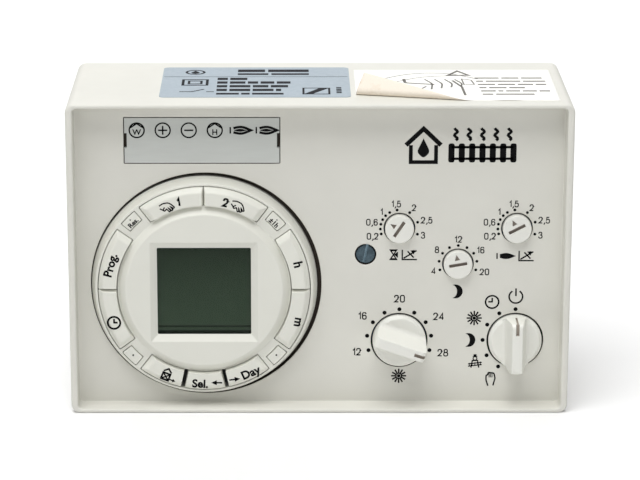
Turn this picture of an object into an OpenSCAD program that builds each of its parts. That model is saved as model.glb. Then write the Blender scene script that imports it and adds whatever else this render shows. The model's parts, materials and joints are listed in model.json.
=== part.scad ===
// Programmable heating controller: a plug-in case with a recessed front panel, a round
// digital clock with a ring of keys, three trimmers, two winged knobs and a lamp window.
// The case stands on its base at z = 0 and faces -Y. Front-view outlines are drawn in
// (x, z), and depths are counted backwards from the panel's front face.

/* [Case] */
// Width of the case
case_w = 144; // [140:1:200]
// Height of the case
case_h = 92; // [90:1:130]
// Depth of the case from the front rim to the back of the rear cover
case_depth = 54; // [50:1:90]
// Thickness of the case walls
wall = 2; // [1.6:0.1:3]
// Radius of the case's long corners
corner_r = 2.5; // [2:0.1:5]
// Depth of the front panel behind the rim
recess = 7; // [5:0.5:10]
// Thickness of the front panel
panel_t = 2; // [1.6:0.1:2.6]
// Thickness of the rear cover
cover_t = 2.5; // [2:0.1:4]
// Gap between fixed pieces that fit into one another
fit_gap = 0.2; // [0.1:0.05:0.4]

/* [Clock] */
// Outside radius of the clock bezel
clock_r = 32.6; // [31.8:0.1:34]
// Gap between the bezel and its hole in the panel
clock_gap = 0.7; // [0.3:0.1:1]
// Width of panel left between the clock hole and the case's side
clock_side = 5.5; // [4.5:0.1:10]
// Height of panel left between the clock hole and the case's base
clock_below = 3.45; // [3.2:0.05:10]
// Depth of the clock behind the panel's front face
clock_depth = 21; // [16:0.5:22]
// Width of the display opening
display_w = 27; // [22:0.5:28]
// Height of the display opening
display_h = 26; // [22:0.5:27]
// Distance of the display's centre below the clock's centre
display_drop = 0.5; // [0:0.1:1]
// Width of the sloping frame round the display
display_frame = 1.95; // [1:0.05:2]

/* [Clock keys] */
// Radial width of the large keys
key_w = 5.35; // [5:0.05:5.6]
// Height of the large keys' faces in front of the panel
key_h = 5.4; // [4.8:0.1:6.2]
// Key travel
key_travel = 0.8; // [0.4:0.1:1]
// Gap between two keys that share an opening
key_gap = 0.3; // [0.2:0.05:0.5]
// Gap beside the select key
select_gap = 1.1; // [0.6:0.1:1.4]
// Gap between a key and the edge of its opening
key_clear = 0.2; // [0.15:0.05:0.3]
// Radius of the stem behind each key
stem_r = 1.2; // [0.9:0.1:1.4]

/* [Knobs] */
// Radius of the temperature and mode knobs
knob_r = 7.75; // [6.5:0.05:9.5]
// Height of the knobs' wings in front of the panel
knob_h = 9.5; // [8:0.1:12]
// Width of a wing at its front
wing_front = 3; // [2.4:0.1:4]
// Width of a wing at its root
wing_root = 6.1; // [5:0.1:8]
// Gap between a knob or trimmer and its hole in the panel
knob_gap = 0.5; // [0.3:0.05:0.8]
// Radius of the temperature and mode spindles
spindle_r = 2; // [1.5:0.1:2.4]
// Running clearance of a spindle in its bore
run_gap = 0.05; // [0.02:0.01:0.1]
// Pointer angle of the temperature knob, clockwise from the top
temperature_turn = 109.3; // [-109:0.1:109.3]
// Pointer angle of the mode knob, clockwise from the top
mode_turn = 0; // [-150:30:0]

/* [Trimmers] */
// Radius of the trimmer caps
trimmer_r = 4.15; // [3.5:0.05:5]
// Height of the trimmer caps in front of the panel
trimmer_h = 1.8; // [1:0.1:3]
// Radius of the trimmer stems
trimmer_stem_r = 1.5; // [1:0.1:2]
// Arrow angle of the mixer valve trimmer, clockwise from the top
valve_turn = -57; // [-108:1:108]
// Arrow angle of the burner trimmer, clockwise from the top
burner_turn = -28; // [-108:1:108]
// Arrow angle of the night trimmer, clockwise from the top
night_turn = -10; // [-108:1:108]

/* [Lamp window] */
// Width of the lamp window
lamp_w = 44.5; // [40:0.5:50]
// Height of the lamp window
lamp_h = 13.5; // [12:0.5:14]
// Thickness of the lamp window
lamp_t = 1.2; // [0.8:0.1:1.3]
// Distance between neighbouring lamps
lamp_pitch = 7.4; // [6.8:0.1:7.4]

/* [Fastening and plug] */
// Radius of the hole that the fixing screw's head sits in
screw_hole_r = 3.1; // [3.1:0.05:4]
// Radius of the fixing screw's thread
fixing_r = 1.5; // [1.25:0.25:2]
// Length of the fixing screw that stands out behind the case
fixing_out = 7; // [4:0.5:8.5]
// Number of plug blades
blade_count = 12; // [6:1:14]
// Length of the plug blades behind the case
plug_out = 9; // [9:0.5:14]

/* [Hidden] */
$fn = 64;

// Overrun of a cut past the face it opens.
eps = 0.5;

// Depths behind the panel's front face.
rim_p = -recess;
back_p = case_depth - recess;
cover_p = back_p - cover_t;
front_p = -max(knob_h, recess);
rear_p = back_p + plug_out;
panel_y = -(front_p + rear_p) / 2;
rim_y = panel_y - recess;

// Plan of the inside.
in_w = case_w - 2 * wall;
in_h = case_h - 2 * wall;
in_r = corner_r - 0.5;
case_mid = case_h / 2;

// Corner bosses and the screws that hold the rear cover.
boss_r = 3.5;
boss_in = 4.5;
cover_screw_r = 1.4;
cover_head_r = 2.7;
cover_head_t = 1.8;
cover_screw_len = 12;
boss_at = [for (sx = [-1, 1], top = [0, 1])
    [sx * (in_w / 2 - boss_in), top * (in_h - 2 * boss_in) + wall + boss_in]];

// Clock.
hole_r = clock_r + clock_gap;
clock_x = -case_w / 2 + clock_side + hole_r;
clock_z = clock_below + hole_r;
clock_at = [clock_x, clock_z];
display_z = clock_z - display_drop;
ring_h = 3.8;
ring_t = 1.6;
disc_h = 5.6;
key_r1 = clock_r - 2.1;
key_r0 = key_r1 - key_w;
key_mid_r = (key_r0 + key_r1) / 2;
open_r1 = key_r1 + key_clear;
open_r0 = key_r0 - key_clear;
disc_base_r = open_r0 - 0.35;
disc_r = disc_base_r - 2;
skirt_end_p = 4.2;
clock_board_t = 1.6;
clock_case_r = clock_r - 0.3;
clock_case_t = 1.5;
collar_t = 1.5;
collar_p = 8;
window_t = 1;
glass_t = 2;
glass_lap = 2;
strip_w = 2;
mat_t = 0.8;
flange_t = 0.8;
flange_in = 0.8;
key_back_p = -ring_h + ring_t + key_clear + flange_t;
stem_end_p = 1.6;
socket_floor_p = skirt_end_p - mat_t;
socket_t = 0.6;
socket_p = 1;

// Key angles about the clock's centre, clockwise from the top: start and end.
small_r0 = key_r0 + 2.15;
small_r1 = key_r1;
small_h = 4.1;
top_end = 37;
side_start = 54.3;
side_end = 126.5;
bottom_start = 142.5;
select_half = 12.3;
small_upper = [40.5, 50.2];
small_lower = [129, 138.9];
large_openings = [[-top_end, top_end], [side_start, side_end], [-side_end, -side_start],
    [bottom_start, 360 - bottom_start]];
small_openings = [small_upper, [-small_upper[1], -small_upper[0]], small_lower,
    [-small_lower[1], -small_lower[0]]];
// Start, end, and the gap left at each end.
manual_1_span = [-top_end, 0, 0, key_gap / 2];
manual_2_span = [0, top_end, key_gap / 2, 0];
hour_span = [side_start, 90, 0, key_gap / 2];
minute_span = [90, side_end, key_gap / 2, 0];
day_span = [bottom_start, 180 - select_half, 0, select_gap / 2];
select_span = [180 - select_half, 180 + select_half, select_gap / 2, select_gap / 2];
holiday_span = [180 + select_half, 360 - bottom_start, select_gap / 2, 0];
clock_span = [-side_end, -90, 0, key_gap / 2];
program_span = [-90, -side_start, key_gap / 2, 0];
key_spans = [manual_1_span, manual_2_span, hour_span, minute_span, day_span, select_span,
    holiday_span, clock_span, program_span];
stems_at = concat([for (s = key_spans) [(s[0] + s[1]) / 2, key_mid_r]],
    [for (s = small_openings) [(s[0] + s[1]) / 2, (small_r0 + small_r1) / 2]]);

// Dials: places on the panel, from the right side and the base.
temperature_at = [case_w / 2 - 48.75, 20];
mode_at = [case_w / 2 - 15.05, 20];
valve_at = [case_w / 2 - 49, 53.85];
burner_at = [case_w / 2 - 15.2, 53.85];
night_at = [case_w / 2 - 32, 43.15];
fixing_at = [case_w / 2 - 58.7, 46];
screw_seat_p = 2.8;
knob_disc_h = 1.6;
knob_back_p = 1;
hub_r = spindle_r + 2.4;
hub_p = 3.4;
spindle_top_h = knob_disc_h + 1;
pot_front_p = 4.5;
pot_r = max(8, spindle_r + 4);
wing_slot_w = 0.8;
wing_slot_len = 3.3;
trimmer_back_p = 2.8;
trimmer_pot_p = 5;
trimmer_pot_r = trimmer_r + 0.75;
trimmer_slot = [5.3, 0.75, 0.8];

// Lamp window.
lamp_at = [clock_x - 0.4, case_h - 12.1];
lamp_ledge = 1.5;
lamp_notch = [0.7, 4.3];
lamp_count = 6;
led_r = 1.5;
led_len = 5;
shield_wall = 1;

// Boards.
control_p = 12;
board_t = 1.6;
control_back_p = control_p + board_t;
post_r = 2.5;
board_screw_r = 1.1;
board_head_r = 2.2;
board_head_t = 1.5;
board_screw_len = 7;
main_p = cover_p - 7.5;
main_back_p = main_p + board_t;
main_w = in_w - 20;
main_h = in_h - 8;
tube_r = screw_hole_r + 1.1;
control_left = clock_x + hole_r + collar_t + 1;
control_right = case_w / 2 - wall - 1.5;
strip_z = clock_z + hole_r + collar_t + 1;
control_posts = [[control_left + 5, 16], [control_left + 5, case_h - 16],
    [control_right - 4, case_h - 16], [control_right - 4, 38]];
main_posts = [for (sx = [-1, 1], sz = [-1, 1]) [sx * (main_w / 2 - 6), case_mid + sz * (main_h / 2 - 6)]];
main_post_r = 2.6;

// Parts on the main board.
link_at = [case_w / 2 - 35, case_h - 15];
link_count = 10;
link_pitch = 2.54;
pin_r = 0.35;
relay = [10, 20, 15.5];
relay_pitch = [12, 23];
relays_at = [case_w / 2 - 32, 48.5];
core = [31.8, 10, 21];
leg = core[0] / 6;
coil_z = 18;
core_at = [case_w / 2 - 48, 16.5];
chip = [36, 9, 4];
chip_at = [clock_x + 8, case_h - 30];
capacitor = [4, 12];
capacitors_at = [for (i = [0:2]) [clock_x - 20 + 10 * i, case_h - 26 + 6 * i]];
fuse = [2.6, 20];
fuse_at = [clock_x - 6, 10];
battery = [10, 3.2];
clock_pin_count = 8;
clock_pins_z = clock_z - 20;
socket_size = [clock_pin_count * link_pitch + 3, 5, 12];

// Rear plug.
blade_pitch = 4;
blade = [2.4, 0.8];
plug_size = [blade_count * blade_pitch + 2, 10];
plug_back_p = back_p + 2;
plug_at = [0, 16];
label_t = 0.15;

// --- Placing helpers -------------------------------------------------------------

// Children are drawn in front view, and +Z comes out towards the viewer.
module on_panel(at, p = 0) {
    translate([at[0], panel_y + p, at[1]]) rotate([90, 0, 0]) children();
}

// A plate with a front-view outline, between two depths.
module slab(p0, p1, at = [0, 0]) {
    on_panel(at, p1) linear_extrude(p1 - p0) children();
}

// A round bar between two depths.
module bar(at, r, p0, p1) {
    on_panel(at, p1) cylinder(r = r, h = p1 - p0);
}

// A block by its front-view size between two depths.
module block(at, size, p0, p1) {
    slab(p0, p1, at) square(size, center = true);
}

// Rounded rectangle whose corners are true arcs.
module rounded(size, r) {
    square([size[0] - 2 * r, size[1]], center = true);
    square([size[0], size[1] - 2 * r], center = true);
    for (sx = [-1, 1], sz = [-1, 1])
        translate([sx * (size[0] / 2 - r), sz * (size[1] / 2 - r)]) circle(r);
}

// A point on a circle about the clock, by its angle clockwise from the top.
function polar(r, a) = [r * sin(a), r * cos(a)];

// Sector of a ring between two angles, less a straight gap at each end.
module sector(r0, r1, a0, a1, gap0 = 0, gap1 = 0) {
    mid = (a0 + a1) / 2;
    far = 1.5 * r1;
    difference() {
        intersection() {
            circle(r1, $fn = 128);
            polygon([[0, 0], polar(far, a0), polar(far, mid), polar(far, a1)]);
        }
        circle(r0, $fn = 128);
        rotate(-a0) translate([-eps, 0]) square([gap0 + eps, far]);
        rotate(-a1) translate([-gap1, 0]) square([gap1 + eps, far]);
    }
}

// --- Case ------------------------------------------------------------------------

module front_housing() {
    color([0.93, 0.93, 0.90]) difference() {
        union() {
            difference() {
                slab(rim_p, back_p, [0, case_mid]) rounded([case_w, case_h], corner_r);
                slab(rim_p - eps, 0, [0, case_mid]) rounded([in_w, in_h], in_r);
                slab(panel_t, back_p + eps, [0, case_mid]) rounded([in_w, in_h], in_r);
            }
            for (at = boss_at) bar(at, boss_r, panel_t - eps, cover_p);
            for (at = control_posts) bar(at, post_r, panel_t - eps, control_p);
            bar(fixing_at, tube_r, panel_t - eps, cover_p);
            bar(clock_at, hole_r + collar_t, panel_t - eps, collar_p);
        }
        bar(clock_at, hole_r, -eps, panel_t);
        bar(clock_at, clock_r + run_gap, panel_t - eps, skirt_end_p);
        bar(clock_at, clock_case_r + run_gap, panel_t - eps, collar_p + eps);
        for (at = [temperature_at, mode_at]) bar(at, knob_r + knob_gap, -eps, panel_t + eps);
        for (at = [valve_at, burner_at, night_at]) bar(at, trimmer_r + knob_gap - 0.1, -eps, panel_t + eps);
        bar(fixing_at, screw_hole_r, -eps, screw_seat_p);
        bar(fixing_at, fixing_r + fit_gap, screw_seat_p - eps, cover_p + eps);
        block(lamp_at, [lamp_w, lamp_h], -eps, lamp_t);
        block(lamp_at, [lamp_w - 2 * lamp_ledge, lamp_h - 2 * lamp_ledge], 0, panel_t + eps);
        for (at = boss_at) bar(at, cover_screw_r, back_p - cover_head_t - cover_screw_len, cover_p + eps);
        for (at = control_posts) bar(at, board_screw_r, control_back_p - board_screw_len, control_p + eps);
    }
}

module rear_cover() {
    color([0.90, 0.90, 0.87]) difference() {
        union() {
            slab(cover_p, back_p, [0, case_mid])
                rounded([in_w - 2 * fit_gap, in_h - 2 * fit_gap], in_r - fit_gap);
            for (at = main_posts) bar(at, main_post_r, main_back_p, cover_p + eps);
        }
        for (at = boss_at) {
            bar(at, cover_screw_r + fit_gap, cover_p - eps, back_p + eps);
            bar(at, cover_head_r + fit_gap, back_p - cover_head_t, back_p + eps);
        }
        for (at = main_posts) bar(at, board_screw_r, main_back_p - eps, main_p + board_screw_len);
        bar(fixing_at, fixing_r + fit_gap, cover_p - eps, back_p + eps);
        block(plug_at, [plug_size[0] + 2 * fit_gap, plug_size[1] + 2 * fit_gap], cover_p - eps, back_p + eps);
        for (side = [-1, 1], i = [0:6])
            slab(cover_p - eps, back_p + eps, [side * 28 + (i - 3) * 5, case_h - 26]) rounded([2, 14], 0.99);
    }
}

module cover_screws() {
    color([0.65, 0.66, 0.68]) for (at = boss_at) difference() {
        union() {
            bar(at, cover_head_r, back_p - cover_head_t, back_p);
            bar(at, cover_screw_r, back_p - cover_head_t - cover_screw_len, back_p - cover_head_t);
        }
        block(at, [3.2, 0.8], back_p - 0.9, back_p + eps);
        block(at, [0.8, 3.2], back_p - 0.9, back_p + eps);
    }
}

module fixing_screw() {
    head_r = screw_hole_r - 0.35;
    head_p = 0.8;
    // The shank is thinner than the thread, which starts clear of the case.
    shank_r = fixing_r - 0.25;
    thread_p = back_p + 0.5;
    color([0.25, 0.33, 0.40]) difference() {
        union() {
            bar(fixing_at, head_r, head_p, screw_seat_p);
            bar(fixing_at, shank_r, screw_seat_p, thread_p);
            bar(fixing_at, fixing_r, thread_p, back_p + fixing_out);
        }
        on_panel(fixing_at, head_p + 0.9) rotate(-12) translate([-0.4, -head_r - eps, 0])
            cube([0.8, 2 * (head_r + eps), 0.9 + eps]);
    }
}

module rating_label() {
    size = [54.7, 38];
    color([0.76, 0.82, 0.86]) translate([clock_x + 14.75, rim_y + 28, case_h])
        linear_extrude(label_t) rounded(size, 1.5);
}

module notice_label() {
    size = [57.8, 39.2];
    color([0.97, 0.97, 0.95]) translate([case_w / 2 - 32.7, rim_y + 24.4, case_h])
        linear_extrude(label_t) square(size, center = true);
}

// --- Lamp window -----------------------------------------------------------------

module lamp_window() {
    gap = 0.15;
    size = [lamp_w - 2 * gap, lamp_h - 2 * gap];
    color([0.70, 0.71, 0.69, 0.9]) slab(0, lamp_t, lamp_at) difference() {
        square(size, center = true);
        for (side = [-1, 1]) translate([side * size[0] / 2, 0])
            square([2 * lamp_notch[0], lamp_notch[1]], center = true);
    }
}

function lamp_spot(i) = [lamp_at[0] + (i - (lamp_count - 1) / 2) * lamp_pitch, lamp_at[1]];

module lamp_shield() {
    size = [lamp_count * lamp_pitch + shield_wall, lamp_h - 2 * lamp_ledge];
    color([0.15, 0.15, 0.16]) difference() {
        block(lamp_at, size, panel_t, control_p);
        for (i = [0:lamp_count - 1])
            block(lamp_spot(i), [lamp_pitch - shield_wall, size[1] - 2 * shield_wall], panel_t - eps, control_p + eps);
    }
}

module lamps() {
    color([0.75, 0.25, 0.20]) for (i = [0:lamp_count - 1]) {
        bar(lamp_spot(i), led_r, control_p - led_len, control_p);
        bar(lamp_spot(i), led_r + 0.4, control_p - 1, control_p);
    }
}

// --- Boards ----------------------------------------------------------------------

module control_board() {
    top_z = case_h - wall - 2;
    low_z = 11;
    corner = boss_in + boss_r + 1;
    color([0.10, 0.38, 0.22]) difference() {
        slab(control_p, control_back_p) {
            translate([control_left, low_z]) square([control_right - corner - control_left, top_z - low_z]);
            translate([control_left, low_z]) square([control_right - control_left, top_z - corner - low_z]);
            translate([lamp_at[0] - lamp_w / 2 - 2, strip_z])
                square([control_left - lamp_at[0] + lamp_w / 2 + 2 + eps, top_z - strip_z]);
        }
        bar(fixing_at, tube_r + fit_gap, control_p - eps, control_back_p + eps);
        for (at = control_posts) bar(at, board_screw_r + fit_gap, control_p - eps, control_back_p + eps);
        for (at = [temperature_at, mode_at]) bar(at, spindle_r + 0.5, control_p - eps, control_back_p + eps);
        for (at = [valve_at, burner_at, night_at])
            bar(at, trimmer_stem_r + 0.5, control_p - eps, control_back_p + eps);
    }
}

module main_board() {
    color([0.10, 0.38, 0.22]) difference() {
        block([0, case_mid], [main_w, main_h], main_p, main_back_p);
        bar(fixing_at, tube_r + fit_gap, main_p - eps, main_back_p + eps);
        for (at = main_posts) bar(at, board_screw_r + fit_gap, main_p - eps, main_back_p + eps);
    }
}

module board_screws() {
    color([0.72, 0.72, 0.70]) {
        for (at = control_posts) {
            bar(at, board_head_r, control_back_p, control_back_p + board_head_t);
            bar(at, board_screw_r, control_back_p - board_screw_len, control_back_p);
        }
        for (at = main_posts) {
            bar(at, board_head_r, main_p - board_head_t, main_p);
            bar(at, board_screw_r, main_p, main_p + board_screw_len);
        }
    }
}

module link_pins() {
    color([0.80, 0.68, 0.32]) for (i = [0:link_count - 1])
        bar([link_at[0] + (i - (link_count - 1) / 2) * link_pitch, link_at[1]], pin_r, control_back_p, main_p);
}

module transformer_core() {
    top_p = main_p - core[2];
    color([0.42, 0.43, 0.45]) difference() {
        block(core_at, [core[0], core[1]], top_p, main_p);
        for (side = [-1, 1])
            block([core_at[0] + side * 1.5 * leg, core_at[1]], [leg, core[1] + 2 * eps], top_p + leg, main_p - leg);
    }
}

module transformer_coil() {
    top_p = main_p - core[2];
    color([0.85, 0.66, 0.25]) difference() {
        block(core_at, [4 * leg, coil_z], top_p + leg, main_p - leg);
        block(core_at, [2 * leg, core[1]], top_p, main_p);
    }
}

module relays() {
    color([0.12, 0.22, 0.45]) for (i = [-1:1], j = [0, 1])
        block([relays_at[0] + i * relay_pitch[0], relays_at[1] + (j - 0.5) * relay_pitch[1]],
            [relay[0], relay[1]], main_p - relay[2], main_p);
}

module controller_chip() {
    color([0.10, 0.10, 0.11]) block(chip_at, [chip[0], chip[1]], main_p - chip[2], main_p);
}

module capacitors() {
    color([0.16, 0.16, 0.30]) for (at = capacitors_at) bar(at, capacitor[0], main_p - capacitor[1], main_p);
}

module fuse() {
    color([0.80, 0.82, 0.84]) translate([fuse_at[0] - fuse[1] / 2, panel_y + main_p - fuse[0], fuse_at[1]])
        rotate([0, 90, 0]) cylinder(r = fuse[0], h = fuse[1]);
}

// --- Rear plug -------------------------------------------------------------------

module blade_outlines() {
    for (i = [0:blade_count - 1]) translate([(i - (blade_count - 1) / 2) * blade_pitch, 0])
        square(blade, center = true);
}

module rear_plug() {
    color([0.16, 0.16, 0.17]) slab(main_back_p, plug_back_p, plug_at) difference() {
        square(plug_size, center = true);
        blade_outlines();
    }
}

module plug_blades() {
    color([0.78, 0.70, 0.45]) slab(main_back_p, rear_p, plug_at) blade_outlines();
}

// --- Knobs -----------------------------------------------------------------------

// Round bar with a flat, as the spindles are and the knobs' bores match.
module flatted(r, h) {
    intersection() {
        cylinder(r = r, h = h);
        translate([-2 * r, -2 * r, 0]) cube([4 * r, 2 * r + 0.6 * r, h]);
    }
}

// Winged knob about the origin, with its pointer along +Y.
module knob() {
    difference() {
        union() {
            rotate_extrude() polygon([[0, knob_disc_h], [knob_r - 0.9, knob_disc_h],
                [knob_r, knob_disc_h - 0.8], [knob_r, -knob_back_p], [hub_r, -knob_back_p],
                [hub_r, -hub_p], [0, -hub_p]]);
            intersection() {
                cylinder(r = knob_r, h = knob_h);
                rotate([90, 0, 0]) linear_extrude(2 * knob_r, center = true)
                    polygon([[-wing_root / 2, knob_disc_h - 0.4], [wing_root / 2, knob_disc_h - 0.4],
                        [wing_front / 2, knob_h], [-wing_front / 2, knob_h]]);
            }
        }
        translate([0, 0, -hub_p - eps]) flatted(spindle_r, hub_p + spindle_top_h + eps);
        translate([-wing_slot_w / 2, knob_r - wing_slot_len, knob_h - 0.8])
            cube([wing_slot_w, wing_slot_len - 0.3, 0.8 + eps]);
    }
}

module spindle() {
    translate([0, 0, -hub_p]) flatted(spindle_r, hub_p + spindle_top_h);
    translate([0, 0, -control_back_p]) cylinder(r = spindle_r, h = control_back_p - hub_p);
}

// Body on the control board with the bore that the spindle turns in.
module turning_body(r, front_p, bore) {
    difference() {
        translate([0, 0, -control_p]) cylinder(r = r, h = control_p - front_p);
        translate([0, 0, -control_p - eps]) cylinder(r = bore, h = control_p - front_p + 2 * eps);
    }
}

module temperature_knob() {
    color([0.90, 0.90, 0.86]) on_panel(temperature_at) rotate(-temperature_turn) knob();
}

module temperature_spindle() {
    color([0.85, 0.85, 0.82]) on_panel(temperature_at) rotate(-temperature_turn) spindle();
}

module temperature_potentiometer() {
    color([0.25, 0.35, 0.50]) on_panel(temperature_at) turning_body(pot_r, pot_front_p, spindle_r + run_gap);
}

module mode_knob() {
    color([0.90, 0.90, 0.86]) on_panel(mode_at) rotate(-mode_turn) knob();
}

module mode_spindle() {
    color([0.85, 0.85, 0.82]) on_panel(mode_at) rotate(-mode_turn) spindle();
}

module mode_switch() {
    color([0.20, 0.20, 0.22]) on_panel(mode_at) turning_body(pot_r, pot_front_p, spindle_r + run_gap);
}

// --- Trimmers --------------------------------------------------------------------

// Trimmer cap about the origin, with its arrow along +Y.
module trimmer_cap() {
    difference() {
        rotate_extrude() polygon([[0, trimmer_h], [trimmer_r - 0.4, trimmer_h],
            [trimmer_r, trimmer_h - 0.4], [trimmer_r, -trimmer_back_p], [0, -trimmer_back_p]]);
        translate([0, 0, -trimmer_back_p - eps]) cylinder(r = trimmer_stem_r, h = trimmer_back_p - 1 + eps);
        translate([-trimmer_slot[0] / 2, -0.6 - trimmer_slot[1] / 2, trimmer_h - trimmer_slot[2]])
            cube([trimmer_slot[0], trimmer_slot[1], trimmer_slot[2] + eps]);
        translate([0, 0, trimmer_h - 0.5]) linear_extrude(0.5 + eps)
            polygon([[-0.75, 0.9], [0.75, 0.9], [0, 2.7]]);
    }
}

module trimmer_stem() {
    translate([0, 0, -control_back_p]) cylinder(r = trimmer_stem_r, h = control_back_p - 1);
}

module trimmer_body() {
    turning_body(trimmer_pot_r, trimmer_pot_p, trimmer_stem_r + run_gap);
}

module valve_trimmer() {
    color([0.88, 0.88, 0.84]) on_panel(valve_at) rotate(-valve_turn) trimmer_cap();
}

module valve_stem() {
    color([0.80, 0.80, 0.78]) on_panel(valve_at) trimmer_stem();
}

module valve_potentiometer() {
    color([0.25, 0.35, 0.50]) on_panel(valve_at) trimmer_body();
}

module burner_trimmer() {
    color([0.88, 0.88, 0.84]) on_panel(burner_at) rotate(-burner_turn) trimmer_cap();
}

module burner_stem() {
    color([0.80, 0.80, 0.78]) on_panel(burner_at) trimmer_stem();
}

module burner_potentiometer() {
    color([0.25, 0.35, 0.50]) on_panel(burner_at) trimmer_body();
}

module night_trimmer() {
    color([0.88, 0.88, 0.84]) on_panel(night_at) rotate(-night_turn) trimmer_cap();
}

module night_stem() {
    color([0.80, 0.80, 0.78]) on_panel(night_at) trimmer_stem();
}

module night_potentiometer() {
    color([0.25, 0.35, 0.50]) on_panel(night_at) trimmer_body();
}

// --- Clock -----------------------------------------------------------------------

// A sloping cut that widens from the display opening to its frame.
module display_slope() {
    outer = [display_w + 2 * display_frame, display_h + 2 * display_frame];
    lift = disc_h - ring_t;
    hull() {
        translate([0, -display_drop, lift]) linear_extrude(0.01) square([display_w, display_h], center = true);
        translate([0, -display_drop, disc_h]) linear_extrude(0.01) square(outer, center = true);
    }
}

module clock_bezel() {
    skirt_in = clock_r - 1;
    color([0.88, 0.88, 0.85]) difference() {
        on_panel(clock_at) difference() {
            rotate_extrude($fn = 128) polygon([[0, disc_h], [disc_r, disc_h], [disc_base_r, ring_h],
                [clock_r - 1.5, ring_h], [clock_r - 0.2, 0], [clock_r, -0.3], [clock_r, -skirt_end_p],
                [skirt_in, -skirt_end_p], [skirt_in, -1], [open_r1, -0.1], [open_r1, ring_h - ring_t],
                [disc_base_r - 0.4, ring_h - ring_t], [disc_r - 0.6, disc_h - ring_t],
                [0, disc_h - ring_t]]);
            translate([0, -display_drop, 0]) linear_extrude(disc_h + eps)
                square([display_w, display_h], center = true);
            display_slope();
        }
        for (s = large_openings)
            slab(-disc_h, 0, clock_at) sector(open_r0, open_r1, s[0], s[1], -key_clear, -key_clear);
        for (s = small_openings)
            slab(-disc_h, 0, clock_at)
                sector(small_r0 - key_clear, open_r1, s[0], s[1], -key_clear, -key_clear);
    }
}

module clock_case() {
    floor_p = clock_depth - clock_case_t;
    inner_r = clock_case_r - clock_case_t;
    ledge_p = skirt_end_p + clock_board_t;
    color([0.80, 0.80, 0.78]) difference() {
        bar(clock_at, clock_case_r, skirt_end_p, clock_depth);
        bar(clock_at, inner_r, skirt_end_p - eps, ledge_p);
        bar(clock_at, inner_r - 1.5, skirt_end_p - eps, floor_p);
        for (i = [0:clock_pin_count - 1]) bar(clock_pin_spot(i), pin_r + fit_gap, floor_p - eps, clock_depth + eps);
    }
}

module display_window() {
    size = [display_w + 2 * glass_lap, display_h + 2 * glass_lap];
    color([0.75, 0.78, 0.76, 0.4])
        block([clock_x, display_z], size, -disc_h + ring_t, -disc_h + ring_t + window_t);
}

module display_glass() {
    size = [display_w + 2 * glass_lap, display_h + 2 * glass_lap];
    front = -disc_h + ring_t + window_t;
    color([0.22, 0.27, 0.23]) block([clock_x, display_z], size, front, front + glass_t);
}

module display_strips() {
    color([0.85, 0.55, 0.60]) for (side = [-1, 1])
        block([clock_x, display_z + side * (display_h / 2 + glass_lap - strip_w / 2)],
            [display_w, strip_w], -disc_h + ring_t + window_t + glass_t, skirt_end_p);
}

module clock_board() {
    color([0.10, 0.38, 0.22])
        bar(clock_at, clock_case_r - clock_case_t - fit_gap, skirt_end_p, skirt_end_p + clock_board_t);
}

// Rubber mat with a hollow socket round each key's stem.
module key_mat() {
    hollow_r = stem_r + 0.4;
    color([0.55, 0.56, 0.57]) difference() {
        union() {
            slab(socket_floor_p, skirt_end_p, clock_at) difference() {
                circle(clock_r - 1.3, $fn = 128);
                circle(key_r0 - 2.5, $fn = 128);
            }
            for (s = stems_at) bar(clock_at + polar(s[1], s[0]), hollow_r + socket_t, socket_p, skirt_end_p);
        }
        for (s = stems_at) bar(clock_at + polar(s[1], s[0]), hollow_r, socket_p - eps, socket_floor_p);
    }
}

module battery() {
    p = skirt_end_p + clock_board_t;
    color([0.75, 0.76, 0.78]) bar(clock_at, battery[0], p, p + battery[1]);
}

function clock_pin_spot(i) = [clock_x + (i - (clock_pin_count - 1) / 2) * link_pitch, clock_pins_z];

module clock_pins() {
    color([0.80, 0.68, 0.32]) for (i = [0:clock_pin_count - 1])
        bar(clock_pin_spot(i), pin_r, skirt_end_p + clock_board_t, main_p - 5);
}

module clock_socket() {
    color([0.14, 0.14, 0.15]) difference() {
        block([clock_x, clock_pins_z], [socket_size[0], socket_size[1]], main_p - socket_size[2], main_p);
        for (i = [0:clock_pin_count - 1])
            bar(clock_pin_spot(i), pin_r + fit_gap, main_p - socket_size[2] - eps, main_p - 4);
    }
}

// --- Keys ------------------------------------------------------------------------

// Key cap with a retaining lip on its inner side and a stem into the mat.
module key(span, r0, r1, face_h, lip) {
    color([0.89, 0.89, 0.86]) {
        slab(-face_h, key_back_p, clock_at) sector(r0, r1, span[0], span[1], span[2], span[3]);
        slab(key_back_p - flange_t, key_back_p, clock_at)
            sector(r0 - lip, r0 + eps, span[0], span[1], span[2], span[3]);
        bar(clock_at + polar((r0 + r1) / 2, (span[0] + span[1]) / 2), stem_r, key_back_p - eps, stem_end_p);
    }
}

module large_key(span) {
    key(span, key_r0, key_r1, key_h, flange_in);
}

module small_key(ends) {
    key([ends[0], ends[1], 0, 0], small_r0, small_r1, small_h, flange_in);
}

module key_manual_1() { large_key(manual_1_span); }
module key_manual_2() { large_key(manual_2_span); }
module key_hour() { large_key(hour_span); }
module key_minute() { large_key(minute_span); }
module key_day() { large_key(day_span); }
module key_select() { large_key(select_span); }
module key_holiday() { large_key(holiday_span); }
module key_clock() { large_key(clock_span); }
module key_program() { large_key(program_span); }
module key_reset() { small_key(small_openings[1]); }
module key_summer_time() { small_key(small_openings[0]); }
module key_lower_left() { small_key(small_openings[3]); }
module key_lower_right() { small_key(small_openings[2]); }

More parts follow.
